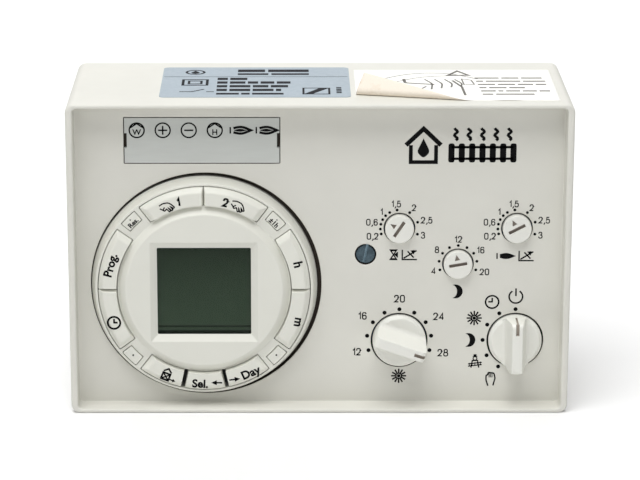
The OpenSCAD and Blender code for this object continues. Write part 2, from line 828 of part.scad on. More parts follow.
front_housing();
rear_cover();
cover_screws();
fixing_screw();
rating_label();
notice_label();
lamp_window();
lamp_shield();
lamps();
control_board();
main_board();
board_screws();
link_pins();
transformer_core();
transformer_coil();
relays();
controller_chip();
capacitors();
fuse();
rear_plug();
plug_blades();
temperature_knob();
temperature_spindle();
temperature_potentiometer();
mode_knob();
mode_spindle();
mode_switch();
valve_trimmer();
valve_stem();
valve_potentiometer();
burner_trimmer();
burner_stem();
burner_potentiometer();
night_trimmer();
night_stem();
night_potentiometer();
clock_bezel();
clock_case();
display_window();
display_glass();
display_strips();
clock_board();
key_mat();
battery();
clock_pins();
clock_socket();
key_manual_1();
key_manual_2();
key_hour();
key_minute();
key_day();
key_select();
key_holiday();
key_clock();
key_program();
key_reset();
key_summer_time();
key_lower_left();
key_lower_right();
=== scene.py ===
"""Finished looks of the heating controller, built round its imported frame.

Lengths in this file are millimetres until a mesh is made. A point on the front is given as x, z and
its height in front of the panel, so that the rim, the keys and the knobs have positive heights.
"""
import json
import math

import bmesh
import bpy
from mathutils import Matrix, Vector
from mathutils.geometry import delaunay_2d_cdt


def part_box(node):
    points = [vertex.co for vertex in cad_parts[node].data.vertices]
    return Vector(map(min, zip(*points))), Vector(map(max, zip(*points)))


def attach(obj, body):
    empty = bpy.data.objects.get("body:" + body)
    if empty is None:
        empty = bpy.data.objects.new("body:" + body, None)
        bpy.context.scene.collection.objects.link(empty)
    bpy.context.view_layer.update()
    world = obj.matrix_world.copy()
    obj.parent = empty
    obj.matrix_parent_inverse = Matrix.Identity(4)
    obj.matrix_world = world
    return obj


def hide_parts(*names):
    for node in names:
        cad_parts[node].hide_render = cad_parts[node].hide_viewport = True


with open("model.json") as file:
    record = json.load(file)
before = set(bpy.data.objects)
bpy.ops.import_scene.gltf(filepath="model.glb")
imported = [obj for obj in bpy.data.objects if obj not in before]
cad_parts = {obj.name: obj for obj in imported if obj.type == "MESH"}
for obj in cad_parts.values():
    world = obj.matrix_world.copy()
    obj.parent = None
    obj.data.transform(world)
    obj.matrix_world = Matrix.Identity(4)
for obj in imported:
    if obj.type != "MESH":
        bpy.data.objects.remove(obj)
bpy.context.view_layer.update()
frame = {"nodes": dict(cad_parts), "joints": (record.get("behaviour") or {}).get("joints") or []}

bl_info = {
    "name": "Heating controller",
    "version": (1, 0, 0),
    "blender": (4, 5, 0),
    "location": "View3D > Sidebar > Controller",
    "description": "Builds the visible pieces of a plug-in heating controller round its packed frame",
    "category": "Object",
}

MM = 0.001


# --- Places taken from the frame ------------------------------------------------------------

def span(node):
    """Lowest and highest corner of a CAD node, in millimetres."""
    return [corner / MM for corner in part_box(node)]


def middle(node):
    """Centre of a CAD node on the front, as x and z."""
    low, high = span(node)
    return (low.x + high.x) / 2, (low.z + high.z) / 2


def turn_limit(joint_name):
    """The clockwise limit of a dial's hinge, counted from rest, in degrees."""
    return next(j["range_deg"][1] for j in frame["joints"] if j["name"] == joint_name)


PANEL_Y = span("lamp_window")[0].y
CASE_LOW, CASE_HIGH = span("front_housing")
CASE_W = CASE_HIGH.x - CASE_LOW.x
CASE_H = CASE_HIGH.z - CASE_LOW.z
RIM = PANEL_Y - CASE_LOW.y
BACK = CASE_HIGH.y - PANEL_Y
CLOCK = middle("clock_case")
CLOCK_R = (span("clock_bezel")[1].x - span("clock_bezel")[0].x) / 2
DISC_H = PANEL_Y - span("clock_bezel")[0].y
KEY_H = PANEL_Y - span("key_select")[0].y
SMALL_KEY_H = PANEL_Y - span("key_reset")[0].y
DISPLAY = middle("display_window")
KNOB_H = PANEL_Y - span("mode_knob")[0].y
KNOB_R = (span("mode_knob")[1].x - span("mode_knob")[0].x) / 2
TRIMMER_H = PANEL_Y - span("valve_trimmer")[0].y
TRIMMER_R = (span("valve_trimmer")[1].x - span("valve_trimmer")[0].x) / 2
LAMPS = middle("lamp_window")
SCREW = middle("fixing_screw")
PLUG = middle("rear_plug")

# Sizes that the boxes don't show, as the part's source has them.
WALL = 2.0
CORNER_R = 2.5
INNER_R = 2.0
PANEL_T = 2.0
COVER_T = 2.5
FIT = 0.2
CLOCK_GAP = 0.7
KNOB_GAP = 0.5
TRIMMER_GAP = 0.4
SCREW_HOLE_R = 3.1
SCREW_SEAT = 2.8
RING_H = 3.8
KEY_R1 = CLOCK_R - 2.1
KEY_R0 = KEY_R1 - 5.35
SMALL_R0 = KEY_R0 + 2.15
KEY_CLEAR = 0.2
DISPLAY_OPENING = (27.0, 26.0)
DISPLAY_FRAME = 1.95
DISPLAY_H = DISC_H - 1.6
LAMP_POCKET = (44.5, 13.5)
LAMP_LEDGE = 1.5
CORNER_SCREWS = [(side * 65.5, height) for side in (-1, 1) for height in (6.5, 85.5)]

# Straight gap between two keys that meet.
SEAM = 0.06
# Key name: start and end in degrees clockwise from the top, and the straight gap at each end.
LARGE_KEYS = {
    "manual_1": (-37, 0, 0, SEAM), "manual_2": (0, 37, SEAM, 0),
    "hour": (54.3, 90, 0, SEAM), "minute": (90, 126.5, SEAM, 0),
    "day": (142.5, 167.7, 0, 0.55), "select": (167.7, 192.3, 0.55, 0.55),
    "holiday": (192.3, 217.5, 0.55, 0),
    "clock": (-126.5, -90, 0, SEAM), "program": (-90, -54.3, SEAM, 0),
}
SMALL_KEYS = {
    "summer_time": (40.5, 50.2), "reset": (-50.2, -40.5),
    "lower_right": (129, 138.9), "lower_left": (-138.9, -129),
}
KEY_OPENINGS = [(-37, 37), (54.3, 126.5), (-126.5, -54.3), (142.5, 217.5)]

# Dial: where its pointer stands at its clockwise limit, in degrees clockwise from the top.
DIAL_ENDS = {"temperature_knob": 109.3, "mode_knob": 0, "valve_trimmer": 108,
             "burner_trimmer": 108, "night_trimmer": 108}


def pointer(dial):
    """Angle of a dial's pointer at rest, in degrees clockwise from the top."""
    return DIAL_ENDS[dial] - turn_limit(dial + "_turn")


def axis_of(dial):
    """Centre of a dial, taken from the round spindle or stem behind it."""
    kind = dial.split("_")
    return middle(kind[0] + ("_spindle" if kind[1] == "knob" else "_stem"))


# --- Outlines and profiles -----------------------------------------------------------------

def mix(a, b, share):
    """The value a given share of the way from a to b."""
    return a + (b - a) * share


def bend(start, corner, end, steps):
    """Points of a smooth bend from start to end that keeps inside a corner, without its start."""
    points = []
    for k in range(1, steps + 1):
        t = k / steps
        points.append(start * (1 - t) ** 2 + corner * 2 * t * (1 - t) + end * t ** 2)
    return points


def toward(start, end, distance):
    """The point at a distance from start on the way to end."""
    return start + (end - start).normalized() * distance


def path(points, cuts, steps=3):
    """A path whose corners are rounded: each corner starts to bend at its own distance."""
    points = [Vector(p) for p in points]
    out = []
    for i, (point, cut) in enumerate(zip(points, cuts)):
        if not cut:
            out.append(point)
            continue
        start = toward(point, points[i - 1], cut)
        end = toward(point, points[(i + 1) % len(points)], cut)
        out += [start] + bend(start, point, end, steps)
    return out


def circle(centre, radius, count=64):
    """Points round a circle, clockwise from the top."""
    angles = [math.tau * k / count for k in range(count)]
    return [(centre[0] + radius * math.sin(a), centre[1] + radius * math.cos(a)) for a in angles]


def rectangle(centre, size, corner, steps=5):
    """A rectangle whose corners are quarter circles, clockwise from its top right."""
    out = []
    for quarter, (sx, sz) in enumerate(((1, 1), (1, -1), (-1, -1), (-1, 1))):
        x = centre[0] + sx * (size[0] / 2 - corner)
        z = centre[1] + sz * (size[1] / 2 - corner)
        for k in range(steps + 1):
            angle = math.radians(90 * (quarter + k / steps))
            out.append((x + corner * math.sin(angle), z + corner * math.cos(angle)))
    return out


def round_clock(radius, angle):
    """A point about the clock's centre, by its angle in radians clockwise from the top."""
    return Vector((CLOCK[0] + radius * math.sin(angle), CLOCK[1] + radius * math.cos(angle)))


def sector(r0, r1, ends, gaps, corner, steps=24):
    """Part of a ring about the clock, between two angles, with a straight gap at each end."""
    a0, a1 = (math.radians(a) for a in ends)
    out0, out1 = a0 + math.asin(gaps[0] / r1), a1 - math.asin(gaps[1] / r1)
    in0, in1 = a0 + math.asin(gaps[0] / r0), a1 - math.asin(gaps[1] / r0)
    corners = [round_clock(r1, out0), round_clock(r1, out1), round_clock(r0, in1), round_clock(r0, in0)]

    def arc(radius, start, end):
        return [round_clock(radius, mix(start, end, k / steps)) for k in range(steps + 1)]

    outer = arc(r1, out0 + corner / r1, out1 - corner / r1)
    inner = arc(r0, in1 - corner / r0, in0 + corner / r0)
    points = outer + bend(outer[-1], corners[1], toward(corners[1], corners[2], corner), 3)
    side = toward(corners[2], corners[1], corner)
    points += [side] + bend(side, corners[2], inner[0], 3) + inner[1:]
    points += bend(inner[-1], corners[3], toward(corners[3], corners[0], corner), 3)
    side = toward(corners[0], corners[3], corner)
    return points + [side] + bend(side, corners[0], outer[0], 3)[:-1]


def within(point, outline):
    """Whether a point lies inside an outline, by counting the sides that it is left of."""
    crossings = 0
    for (x0, z0), (x1, z1) in zip(outline, outline[1:] + outline[:1]):
        if (z0 > point.y) != (z1 > point.y):
            crossings += point.x < mix(x0, x1, (point.y - z0) / (z1 - z0))
    return crossings % 2 == 1


# --- Meshes --------------------------------------------------------------------------------

def front(x, z, height):
    """A point on the front in the frame, in metres."""
    return Vector((x, PANEL_Y - height, z)) * MM


def dial_place(dial):
    """Places points given about a dial's axis, with its pointer along +z, at its rest angle."""
    centre = axis_of(dial)
    turn = math.radians(pointer(dial))

    def place(x, z, height):
        return front(centre[0] + x * math.cos(turn) + z * math.sin(turn),
                     centre[1] - x * math.sin(turn) + z * math.cos(turn), height)
    return place


def dress(data, finishes):
    for item in finishes:
        data.materials.append(item)


def show(name, data, body, finishes, soft_angle=38):
    """Makes a shaded piece of a mesh and lets it ride on a body."""
    data.polygons.foreach_set("use_smooth", [True] * len(data.polygons))
    data.set_sharp_from_angle(angle=math.radians(soft_angle))
    if not data.materials:
        dress(data, finishes)
    piece = bpy.data.objects.new(name, data)
    bpy.context.scene.collection.objects.link(piece)
    even = piece.modifiers.new("even shading", "WEIGHTED_NORMAL")
    even.keep_sharp = True
    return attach(piece, body)


class Shell:
    """A mesh that is skinned over outlines at different heights."""

    def __init__(self, place=front):
        self.mesh = bmesh.new()
        self.place = place
        self.flat = {}

    def loop(self, outline, height):
        verts = []
        for x, z in outline:
            vert = self.mesh.verts.new(self.place(x, z, height))
            self.flat[vert] = (x, z)
            verts.append(vert)
        return verts

    def band(self, low, high, finish=0):
        count = len(low)
        for i in range(count):
            j = (i + 1) % count
            self.mesh.faces.new((low[i], low[j], high[j], high[i])).material_index = finish

    def stack(self, steps, finish=0, deep=None):
        """Skins (outline, height) steps and returns the first and the last loop.

        Bands that start deeper than a given height take the second finish.
        """
        loops = [self.loop(*step) for step in steps]
        for low, high, (_, height) in zip(loops, loops[1:], steps):
            self.band(low, high, 1 if deep is not None and height < deep else finish)
        return loops[0], loops[-1]

    def lid(self, loop, finish=0):
        self.mesh.faces.new(loop).material_index = finish

    def plate(self, loops, finish=0):
        """Fills the flat area between an outer loop and the loops inside it."""
        verts = [v for loop in loops for v in loop]
        edges, start = [], 0
        for loop in loops:
            count = len(loop)
            edges += [(start + i, start + (i + 1) % count) for i in range(count)]
            start += count
        points = [Vector(self.flat[v]) for v in verts]
        owners = [k for k, loop in enumerate(loops) for _ in loop]
        outlines = [[self.flat[v] for v in loop] for loop in loops]
        _, _, faces, sources, _, _ = delaunay_2d_cdt(points, edges, [], 1, 1e-7)
        for face in faces:
            corners = [sources[i][0] for i in face]
            touched = {owners[i] for i in corners}
            centre = sum((points[i] for i in corners), Vector((0, 0))) / len(corners)
            if len(touched) == 1 and 0 not in touched and within(centre, outlines[touched.pop()]):
                continue
            self.mesh.faces.new([verts[i] for i in corners]).material_index = finish

    def data(self, name):
        bmesh.ops.recalc_face_normals(self.mesh, faces=self.mesh.faces)
        data = bpy.data.meshes.new(name)
        self.mesh.to_mesh(data)
        self.mesh.free()
        return data

    def piece(self, name, body, finishes):
        return show(name, self.data(name), body, finishes)


def combined(base, tools, finishes):
    """The mesh of a base joined with or cut by tools, given as (mesh, operation)."""
    for data in [base] + [tool for tool, _ in tools]:
        dress(data, finishes)
    trial = bpy.data.objects.new("base", base)
    bpy.context.scene.collection.objects.link(trial)
    helpers = []
    for data, operation in tools:
        helper = bpy.data.objects.new("tool", data)
        bpy.context.scene.collection.objects.link(helper)
        step = trial.modifiers.new(operation, "BOOLEAN")
        step.operation, step.object, step.solver = operation, helper, "EXACT"
        helpers.append(helper)
    bpy.context.view_layer.update()
    result = bpy.data.meshes.new_from_object(trial.evaluated_get(bpy.context.evaluated_depsgraph_get()))
    for item in [trial, *helpers]:
        bpy.data.objects.remove(item)
    return result


def block(place, low, high):
    """The mesh of a cutter between two corners, each given as x, z and height."""
    shell = Shell(place)
    outline = [(low[0], low[1]), (low[0], high[1]), (high[0], high[1]), (high[0], low[1])]
    first, last = shell.stack([(outline, low[2]), (outline, high[2])], 1)
    shell.lid(first, 1)
    shell.lid(last, 1)
    return shell.data("cutter")


# --- Print ---------------------------------------------------------------------------------

# Lines of the figures in a box one high, each with how far its corners are rounded.
FIGURES = {
    "0": [([(0.28, 1), (0.56, 1), (0.56, 0), (0, 0), (0, 1), (0.28, 1)], [0, 0.26, 0.26, 0.26, 0.26, 0])],
    "1": [([(0.0, 0.74), (0.12, 0.78), (0.26, 1), (0.26, 0)], [0, 0.1, 0, 0])],
    "2": [([(0.02, 0.68), (0.02, 1), (0.54, 1), (0.54, 0.52), (0.02, 0.02), (0.56, 0.02)],
           [0, 0.24, 0.24, 0.24, 0, 0])],
    "3": [([(0.04, 0.76), (0.04, 1), (0.51, 1), (0.51, 0.53), (0.22, 0.53)], [0, 0.2, 0.22, 0.22, 0]),
          ([(0.22, 0.53), (0.56, 0.53), (0.56, 0), (0.02, 0), (0.02, 0.26)], [0, 0.24, 0.24, 0.22, 0])],
    "4": [([(0.43, 0), (0.43, 0.98), (0, 0.27), (0.58, 0.27)], [0, 0, 0, 0])],
    "5": [([(0.5, 0.98), (0.12, 0.98), (0.05, 0.5), (0.16, 0.64), (0.55, 0.64), (0.55, 0), (0.02, 0),
            (0.02, 0.24)], [0, 0, 0, 0.08, 0.24, 0.24, 0.22, 0])],
    "6": [([(0.53, 0.76), (0.5, 1), (0.03, 1), (0.03, 0), (0.55, 0), (0.55, 0.58), (0.05, 0.58), (0.05, 0.3)],
           [0, 0.2, 0.28, 0.24, 0.24, 0.24, 0.24, 0])],
    "8": [([(0.28, 0.53), (0.5, 0.53), (0.5, 1), (0.06, 1), (0.06, 0.53), (0.28, 0.53)],
           [0, 0.2, 0.2, 0.2, 0.2, 0]),
          ([(0.28, 0.53), (0.56, 0.53), (0.56, 0), (0, 0), (0, 0.53), (0.28, 0.53)],
           [0, 0.24, 0.24, 0.24, 0.24, 0])],
    ",": [([(0.12, 0.1), (0.11, -0.04), (-0.03, -0.26)], [0, 0.05, 0])],
}

class Ink:
    """Flat printed shapes with a little thickness, drawn in millimetres on a chosen surface."""

    def __init__(self):
        self.faces = []
        self.set_at(0, 0)

    def set_at(self, x, z, turn=0, scale=1):
        """Draws what follows about a point, turned clockwise by degrees."""
        self.frame = Matrix.Translation((x, z, 0)) @ Matrix.Rotation(-math.radians(turn), 4, "Z")
        self.frame = self.frame @ Matrix.Scale(scale, 4)

    def on(self, point):
        moved = self.frame @ Vector((point[0], point[1], 0))
        return moved.x, moved.y

    def fill(self, points):
        self.faces.append([self.on(p) for p in points])

    def bar(self, x, z, width, height):
        w, h = width / 2, height / 2
        self.fill([(x - w, z - h), (x + w, z - h), (x + w, z + h), (x - w, z + h)])

    def dot(self, x, z, radius, count=20):
        self.fill(circle((x, z), radius, count))

    def stroke(self, points, width):
        """A line of even width through points, mitred where it bends."""
        points = [Vector(p) for p in points]
        closed = (points[0] - points[-1]).length < 1e-6
        if closed:
            points.pop()
        count = len(points)
        left, right = [], []
        for i, point in enumerate(points):
            before = points[i - 1] if closed or i else None
            after = points[(i + 1) % count] if closed or i < count - 1 else None
            sides = [(b - a).normalized() for a, b in ((before, point), (point, after))
                     if a is not None and b is not None]
            normals = [Vector((-s.y, s.x)) for s in sides]
            normal = (normals[0] + normals[-1]).normalized()
            reach = width / 2 / max(normal.dot(normals[0]), 0.4)
            left.append(point + normal * reach)
            right.append(point - normal * reach)
        last = count if closed else count - 1
        for i in range(last):
            j = (i + 1) % count
            self.fill([left[i], left[j], right[j], right[i]])

    def arc(self, centre, radius, width, start=0, end=360, steps=40):
        """A round line between two angles in degrees clockwise from the top."""
        angles = [math.radians(mix(start, end, k / steps)) for k in range(steps + 1)]
        self.stroke([(centre[0] + radius * math.sin(a), centre[1] + radius * math.cos(a))
                     for a in angles], width)

    def text(self, words, x, z, size, turn=0, bold=0.0):
        """Words centred on a point, with capitals about 0.7 of the size high."""
        curve = bpy.data.curves.new("words", "FONT")
        curve.body, curve.size, curve.offset, curve.resolution_u = words, size, bold, 4
        holder = bpy.data.objects.new("words", curve)
        bpy.context.scene.collection.objects.link(holder)
        bpy.context.view_layer.update()
        drawn = holder.evaluated_get(bpy.context.evaluated_depsgraph_get())
        mesh = drawn.to_mesh()
        points = [v.co.copy() for v in mesh.vertices]
        shapes = [list(p.vertices) for p in mesh.polygons]
        drawn.to_mesh_clear()
        bpy.data.objects.remove(holder)
        mid_x = (min(p.x for p in points) + max(p.x for p in points)) / 2
        mid_y = (min(p.y for p in points) + max(p.y for p in points)) / 2
        angle = -math.radians(turn)
        cos, sin = math.cos(angle), math.sin(angle)
        moved = []
        for p in points:
            dx, dy = p.x - mid_x, p.y - mid_y
            moved.append((x + dx * cos - dy * sin, z + dx * sin + dy * cos))
        for shape in shapes:
            self.fill([moved[i] for i in shape])

    def number(self, words, x, z, height, weight=0.17):
        """Figures of even line width, centred on a point. The weight is a share of the height."""
        widths = [0.34 if c == "," else 0.54 if c == "1" else 0.86 for c in words]
        start = x - (sum(widths) - 0.28) * height / 2
        for character, width in zip(words, widths):
            for line, cuts in FIGURES[character]:
                self.stroke([(start + p.x * height, z + (p.y - 0.5) * height) for p in path(line, cuts, 4)],
                            weight * height)
            start += width * height

    def piece(self, name, body, finish, surface, thickness):
        """Makes the drawing a solid skin on a surface, which places x, z and a height."""
        mesh = bmesh.new()
        known = {}
        for shape in self.faces:
            verts = []
            for x, z in shape:
                key = (round(x, 4), round(z, 4))
                if key not in known:
                    known[key] = mesh.verts.new(surface(x, z, thickness))
                if known[key] not in verts:
                    verts.append(known[key])
            if len(verts) > 2 and not mesh.faces.get(verts):
                mesh.faces.new(verts)
        # Each top faces out. The underside and the sides are made one by one, in the same order each run.
        drop = surface(0, 0, 0) - surface(0, 0, thickness)
        mesh.normal_update()
        for face in mesh.faces:
            if face.normal.dot(drop) > 0:
                face.normal_flip()
        tops = [list(face.verts) for face in mesh.faces]
        rims = [edge.link_loops[0] for edge in mesh.edges if len(edge.link_faces) == 1]
        rims = [(loop.vert, loop.link_loop_next.vert) for loop in rims]
        under = {vert: mesh.verts.new(vert.co + drop) for vert in mesh.verts[:] if vert.link_faces}
        for top in tops:
            mesh.faces.new([under[vert] for vert in reversed(top)])
        for start, end in rims:
            mesh.faces.new((end, start, under[start], under[end]))
        mesh.normal_update()
        facing = [face.normal.copy() for face in mesh.faces]
        bmesh.ops.recalc_face_normals(mesh, faces=mesh.faces)
        # Bold letters can fold over themselves. Their faces keep the way in which they were made.
        pairs = [edge.link_loops for edge in mesh.edges if len(edge.link_loops) == 2]
        if any(one.vert == other.vert for one, other in pairs):
            for face, normal in zip(mesh.faces, facing):
                if face.normal.dot(normal) < 0:
                    face.normal_flip()
        data = bpy.data.meshes.new(name)
        mesh.to_mesh(data)
        mesh.free()
        data.materials.append(finish)
        drawing = bpy.data.objects.new(name, data)
        bpy.context.scene.collection.objects.link(drawing)
        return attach(drawing, body)


def draw_sun(ink, x, z, scale=1.0):
    ink.set_at(x, z, 0, scale)
    ink.dot(0, 0, 0.5)
    for k in range(12):
        ink.set_at(x, z, 30 * k, scale)
        ink.bar(0, 1.4, 0.45, 1.6)


def draw_moon(ink, x, z, scale=1.0):
    ink.set_at(x, z, 0, scale)
    outer = [Vector((2.1 * math.sin(a) - 0.6, 2.1 * math.cos(a)))
             for a in [math.radians(mix(-22, 202, k / 24)) for k in range(25)]]
    inner = [Vector((1.5 * math.sin(a) - 1.62, 1.98 * math.cos(a)))
             for a in [math.radians(mix(176, 4, k / 24)) for k in range(25)]]
    for k in range(24):
        ink.fill([outer[k], outer[k + 1], inner[23 - k], inner[24 - k]])


def draw_power(ink, x, z):
    ink.set_at(x, z)
    ink.arc((0, 0), 1.95, 0.46, 32, 328)
    ink.bar(0, 1.35, 0.46, 2.3)


def draw_clock(ink, x, z, side=-1, scale=1.0, weight=0.48):
    """A clock whose small hand points to a side: -1 for left, 1 for right."""
    ink.set_at(x, z, 0, scale)
    ink.arc((0, 0), 1.9, weight)
    ink.bar(0.02, 0.55, weight * 0.92, 1.4)
    ink.bar(side * 0.5, 0.05, 1.2, weight * 0.92)


def draw_flame(ink, x, z, filled, scale=1.0):
    """A burner: an upright bar and a flame that points right."""
    ink.set_at(x, z, 0, scale)
    ink.bar(-3.0, 0, 0.42, 1.9)
    outline = path([(-2.1, 0.62), (0.2, 1.15), (2.9, 0), (0.2, -1.15), (-2.1, -0.62)],
                   [0, 1.3, 0, 1.3, 0], 6)
    if filled:
        ink.fill(outline)
        return
    ink.stroke(outline, 0.7)
    ink.fill(path([(-1.9, 0.1), (-0.2, 0.5), (1.9, 0), (-0.2, -0.5), (-1.9, -0.1)],
                  [0, 0.8, 0, 0.8, 0], 5))


def draw_pump(ink, x, z, letter):
    ink.set_at(x, z)
    ink.arc((0, 0), 2.12, 0.42)
    ink.stroke([(-1.9, 0.7), (0, 1.95), (1.9, 0.7)], 0.4)
    ink.text(letter, 0, -0.55, 2.3, bold=0.05)


def draw_sign(ink, x, z, plus):
    ink.set_at(x, z)
    ink.arc((0, 0), 2.12, 0.42)
    ink.bar(0, 0, 2.6, 0.42)
    if plus:
        ink.bar(0, 0, 0.42, 2.6)


def draw_valve(ink, x, z):
    """A mixing valve: two triangles tip to tip with a third at their side."""
    ink.set_at(x, z)
    ink.stroke([(-1.0, 1.45), (0.9, -1.45), (-1.0, -1.45), (0.9, 1.45), (-1.0, 1.45)], 0.34)
    ink.fill([(0.1, 0.0), (1.25, 0.95), (1.25, -0.95)])
    ink.bar(-0.05, 1.3, 1.5, 0.5)
    ink.bar(-0.05, -1.3, 1.5, 0.5)


def draw_curve_sign(ink, x, z):
    """A heating curve: two axes and a crossed line."""
    ink.set_at(x, z)
    ink.bar(-2.0, 0, 0.4, 3.1)
    ink.bar(0.05, -1.4, 4.4, 0.4)
    ink.stroke([(-1.6, -1.0), (2.1, 1.3)], 0.42)
    ink.stroke([(-0.5, 1.1), (1.3, -0.8)], 0.42)
    ink.fill([(0.3, 1.3), (1.6, 1.45), (1.35, 0.1)])


def draw_hand(ink, x, z, turn=0, scale=1.0):
    """A raised open hand in outline."""
    ink.set_at(x, z, turn, scale)
    outline = [(-0.75, -2.1), (-1.35, -0.2), (-1.3, 1.2), (-0.8, 1.3), (-0.75, 2.0), (0.95, 1.85),
               (1.35, 0.2), (1.0, -0.9), (0.75, -2.0)]
    ink.stroke(path(outline, [0, 0.5, 0.3, 0.1, 0.3, 0.4, 0.5, 0.4, 0]), 0.42)
    for k in range(3):
        ink.stroke([(-0.42 + 0.42 * k, 0.5), (-0.4 + 0.42 * k, 1.8)], 0.24)


def draw_flat_hand(ink, x, z, turn, scale=1.0):
    """A hand that reaches down to the right, as on the manual keys."""
    ink.set_at(x, z, turn, scale)
    ink.stroke(path([(-2.1, 0.85), (-0.9, 1.3), (0.6, 1.2), (1.4, 0.5), (2.1, -0.5), (1.8, -0.8), (1.0, -0.1),
                     (1.5, -1.1), (1.15, -1.35), (0.35, -0.35), (0.8, -1.3), (0.4, -1.5), (-0.25, -0.5),
                     (-0.9, -1.0), (-1.3, -0.65), (-0.7, 0.1)],
                    [0, 0.4, 0.4, 0.3, 0.1, 0.1, 0.1, 0.1, 0.1, 0.1, 0.1, 0.1, 0.1, 0.1, 0.1, 0], 2), 0.36)
    ink.stroke([(-2.1, 0.0), (-1.3, -0.6)], 0.36)


def draw_holiday(ink, x, z, turn):
    """A suitcase with a roof over it and an arrow beside it."""
    ink.set_at(x, z, turn)
    ink.stroke([(-1.15, 0.5), (1.05, 0.5), (1.05, -1.5), (-1.15, -1.5), (-1.15, 0.5)], 0.54)
    ink.stroke([(-1.0, 0.35), (0.95, -1.35)], 0.42)
    ink.stroke([(-1.0, -1.35), (0.95, 0.35)], 0.42)
    ink.stroke([(-1.2, 0.95), (0.0, 2.0), (1.2, 0.95)], 0.5)
    ink.bar(1.9, -0.95, 1.2, 0.36)
    ink.fill([(2.2, -1.5), (2.2, -0.4), (3.1, -0.95)])


def draw_sweep(ink, x, z):
    """A figure with a hat behind a ladder, for the flue test."""
    ink.set_at(x, z)
    ink.bar(0, 1.95, 0.9, 0.55)
    ink.bar(0, 1.6, 1.4, 0.22)
    ink.arc((0, 0.95), 0.55, 0.28, steps=16)
    ink.stroke([(-1.15, -1.9), (-0.75, 0.3), (0.75, 0.3), (1.15, -1.9)], 0.38)
    ink.stroke([(-2.0, -0.75), (2.0, -0.25)], 0.34)
    ink.stroke([(-2.0, -1.45), (2.0, -0.95)], 0.34)
    for k in range(5):
        ink.bar(-1.6 + 0.8 * k, -0.98 + 0.1 * k, 0.24, 1.1)


def draw_arrow(ink, x, z, turn, length=2.6):
    """An arrow that points right before it is turned."""
    ink.set_at(x, z, turn)
    ink.bar(-0.45, 0, length - 0.9, 0.44)
    ink.fill([(length / 2 - 1.5, 0.74), (length / 2 - 1.5, -0.74), (length / 2 + 0.1, 0)])


def draw_heading(ink, low_x, low_z, width):
    """A generic heading: a house with a flame, then a radiator with warm air over it."""
    ink.set_at(low_x, low_z)
    ink.stroke([(0.2, 5.6), (5.2, 10.4), (10.2, 5.6)], 1.3)
    ink.stroke([(1.6, 5.6), (1.6, 0.6), (8.8, 0.6), (8.8, 5.6)], 1.1)
    ink.fill(path([(5.2, 7.6), (7.1, 3.6), (5.2, 1.6), (3.3, 3.6)], [0, 1.0, 1.2, 1.0], 5))
    ribs = 7
    start, end = 13.2, width - 0.8
    for k in range(ribs):
        ink.fill(rectangle((mix(start, end, k / (ribs - 1)), 3.3), (1.75, 5.6), 0.6, 3))
    ink.bar((start + end) / 2, 5.0, end - start, 0.7)
    ink.bar((start + end) / 2, 1.6, end - start, 0.7)
    for k in range(5):
        x = mix(start + 1.2, end - 1.2, k / 4)
        ink.stroke([(x + 0.45 * math.sin(t * 1.1), 7.0 + 0.36 * t) for t in range(11)], 0.8)


# --- Finishes ------------------------------------------------------------------------------

def paint(red, green, blue):
    """A colour in the shader's own linear values from one as a screen shows it, 0 to 255."""
    channels = [c / 255 for c in (red, green, blue)]
    return tuple(c / 12.92 if c <= 0.04045 else ((c + 0.055) / 1.055) ** 2.4 for c in channels)


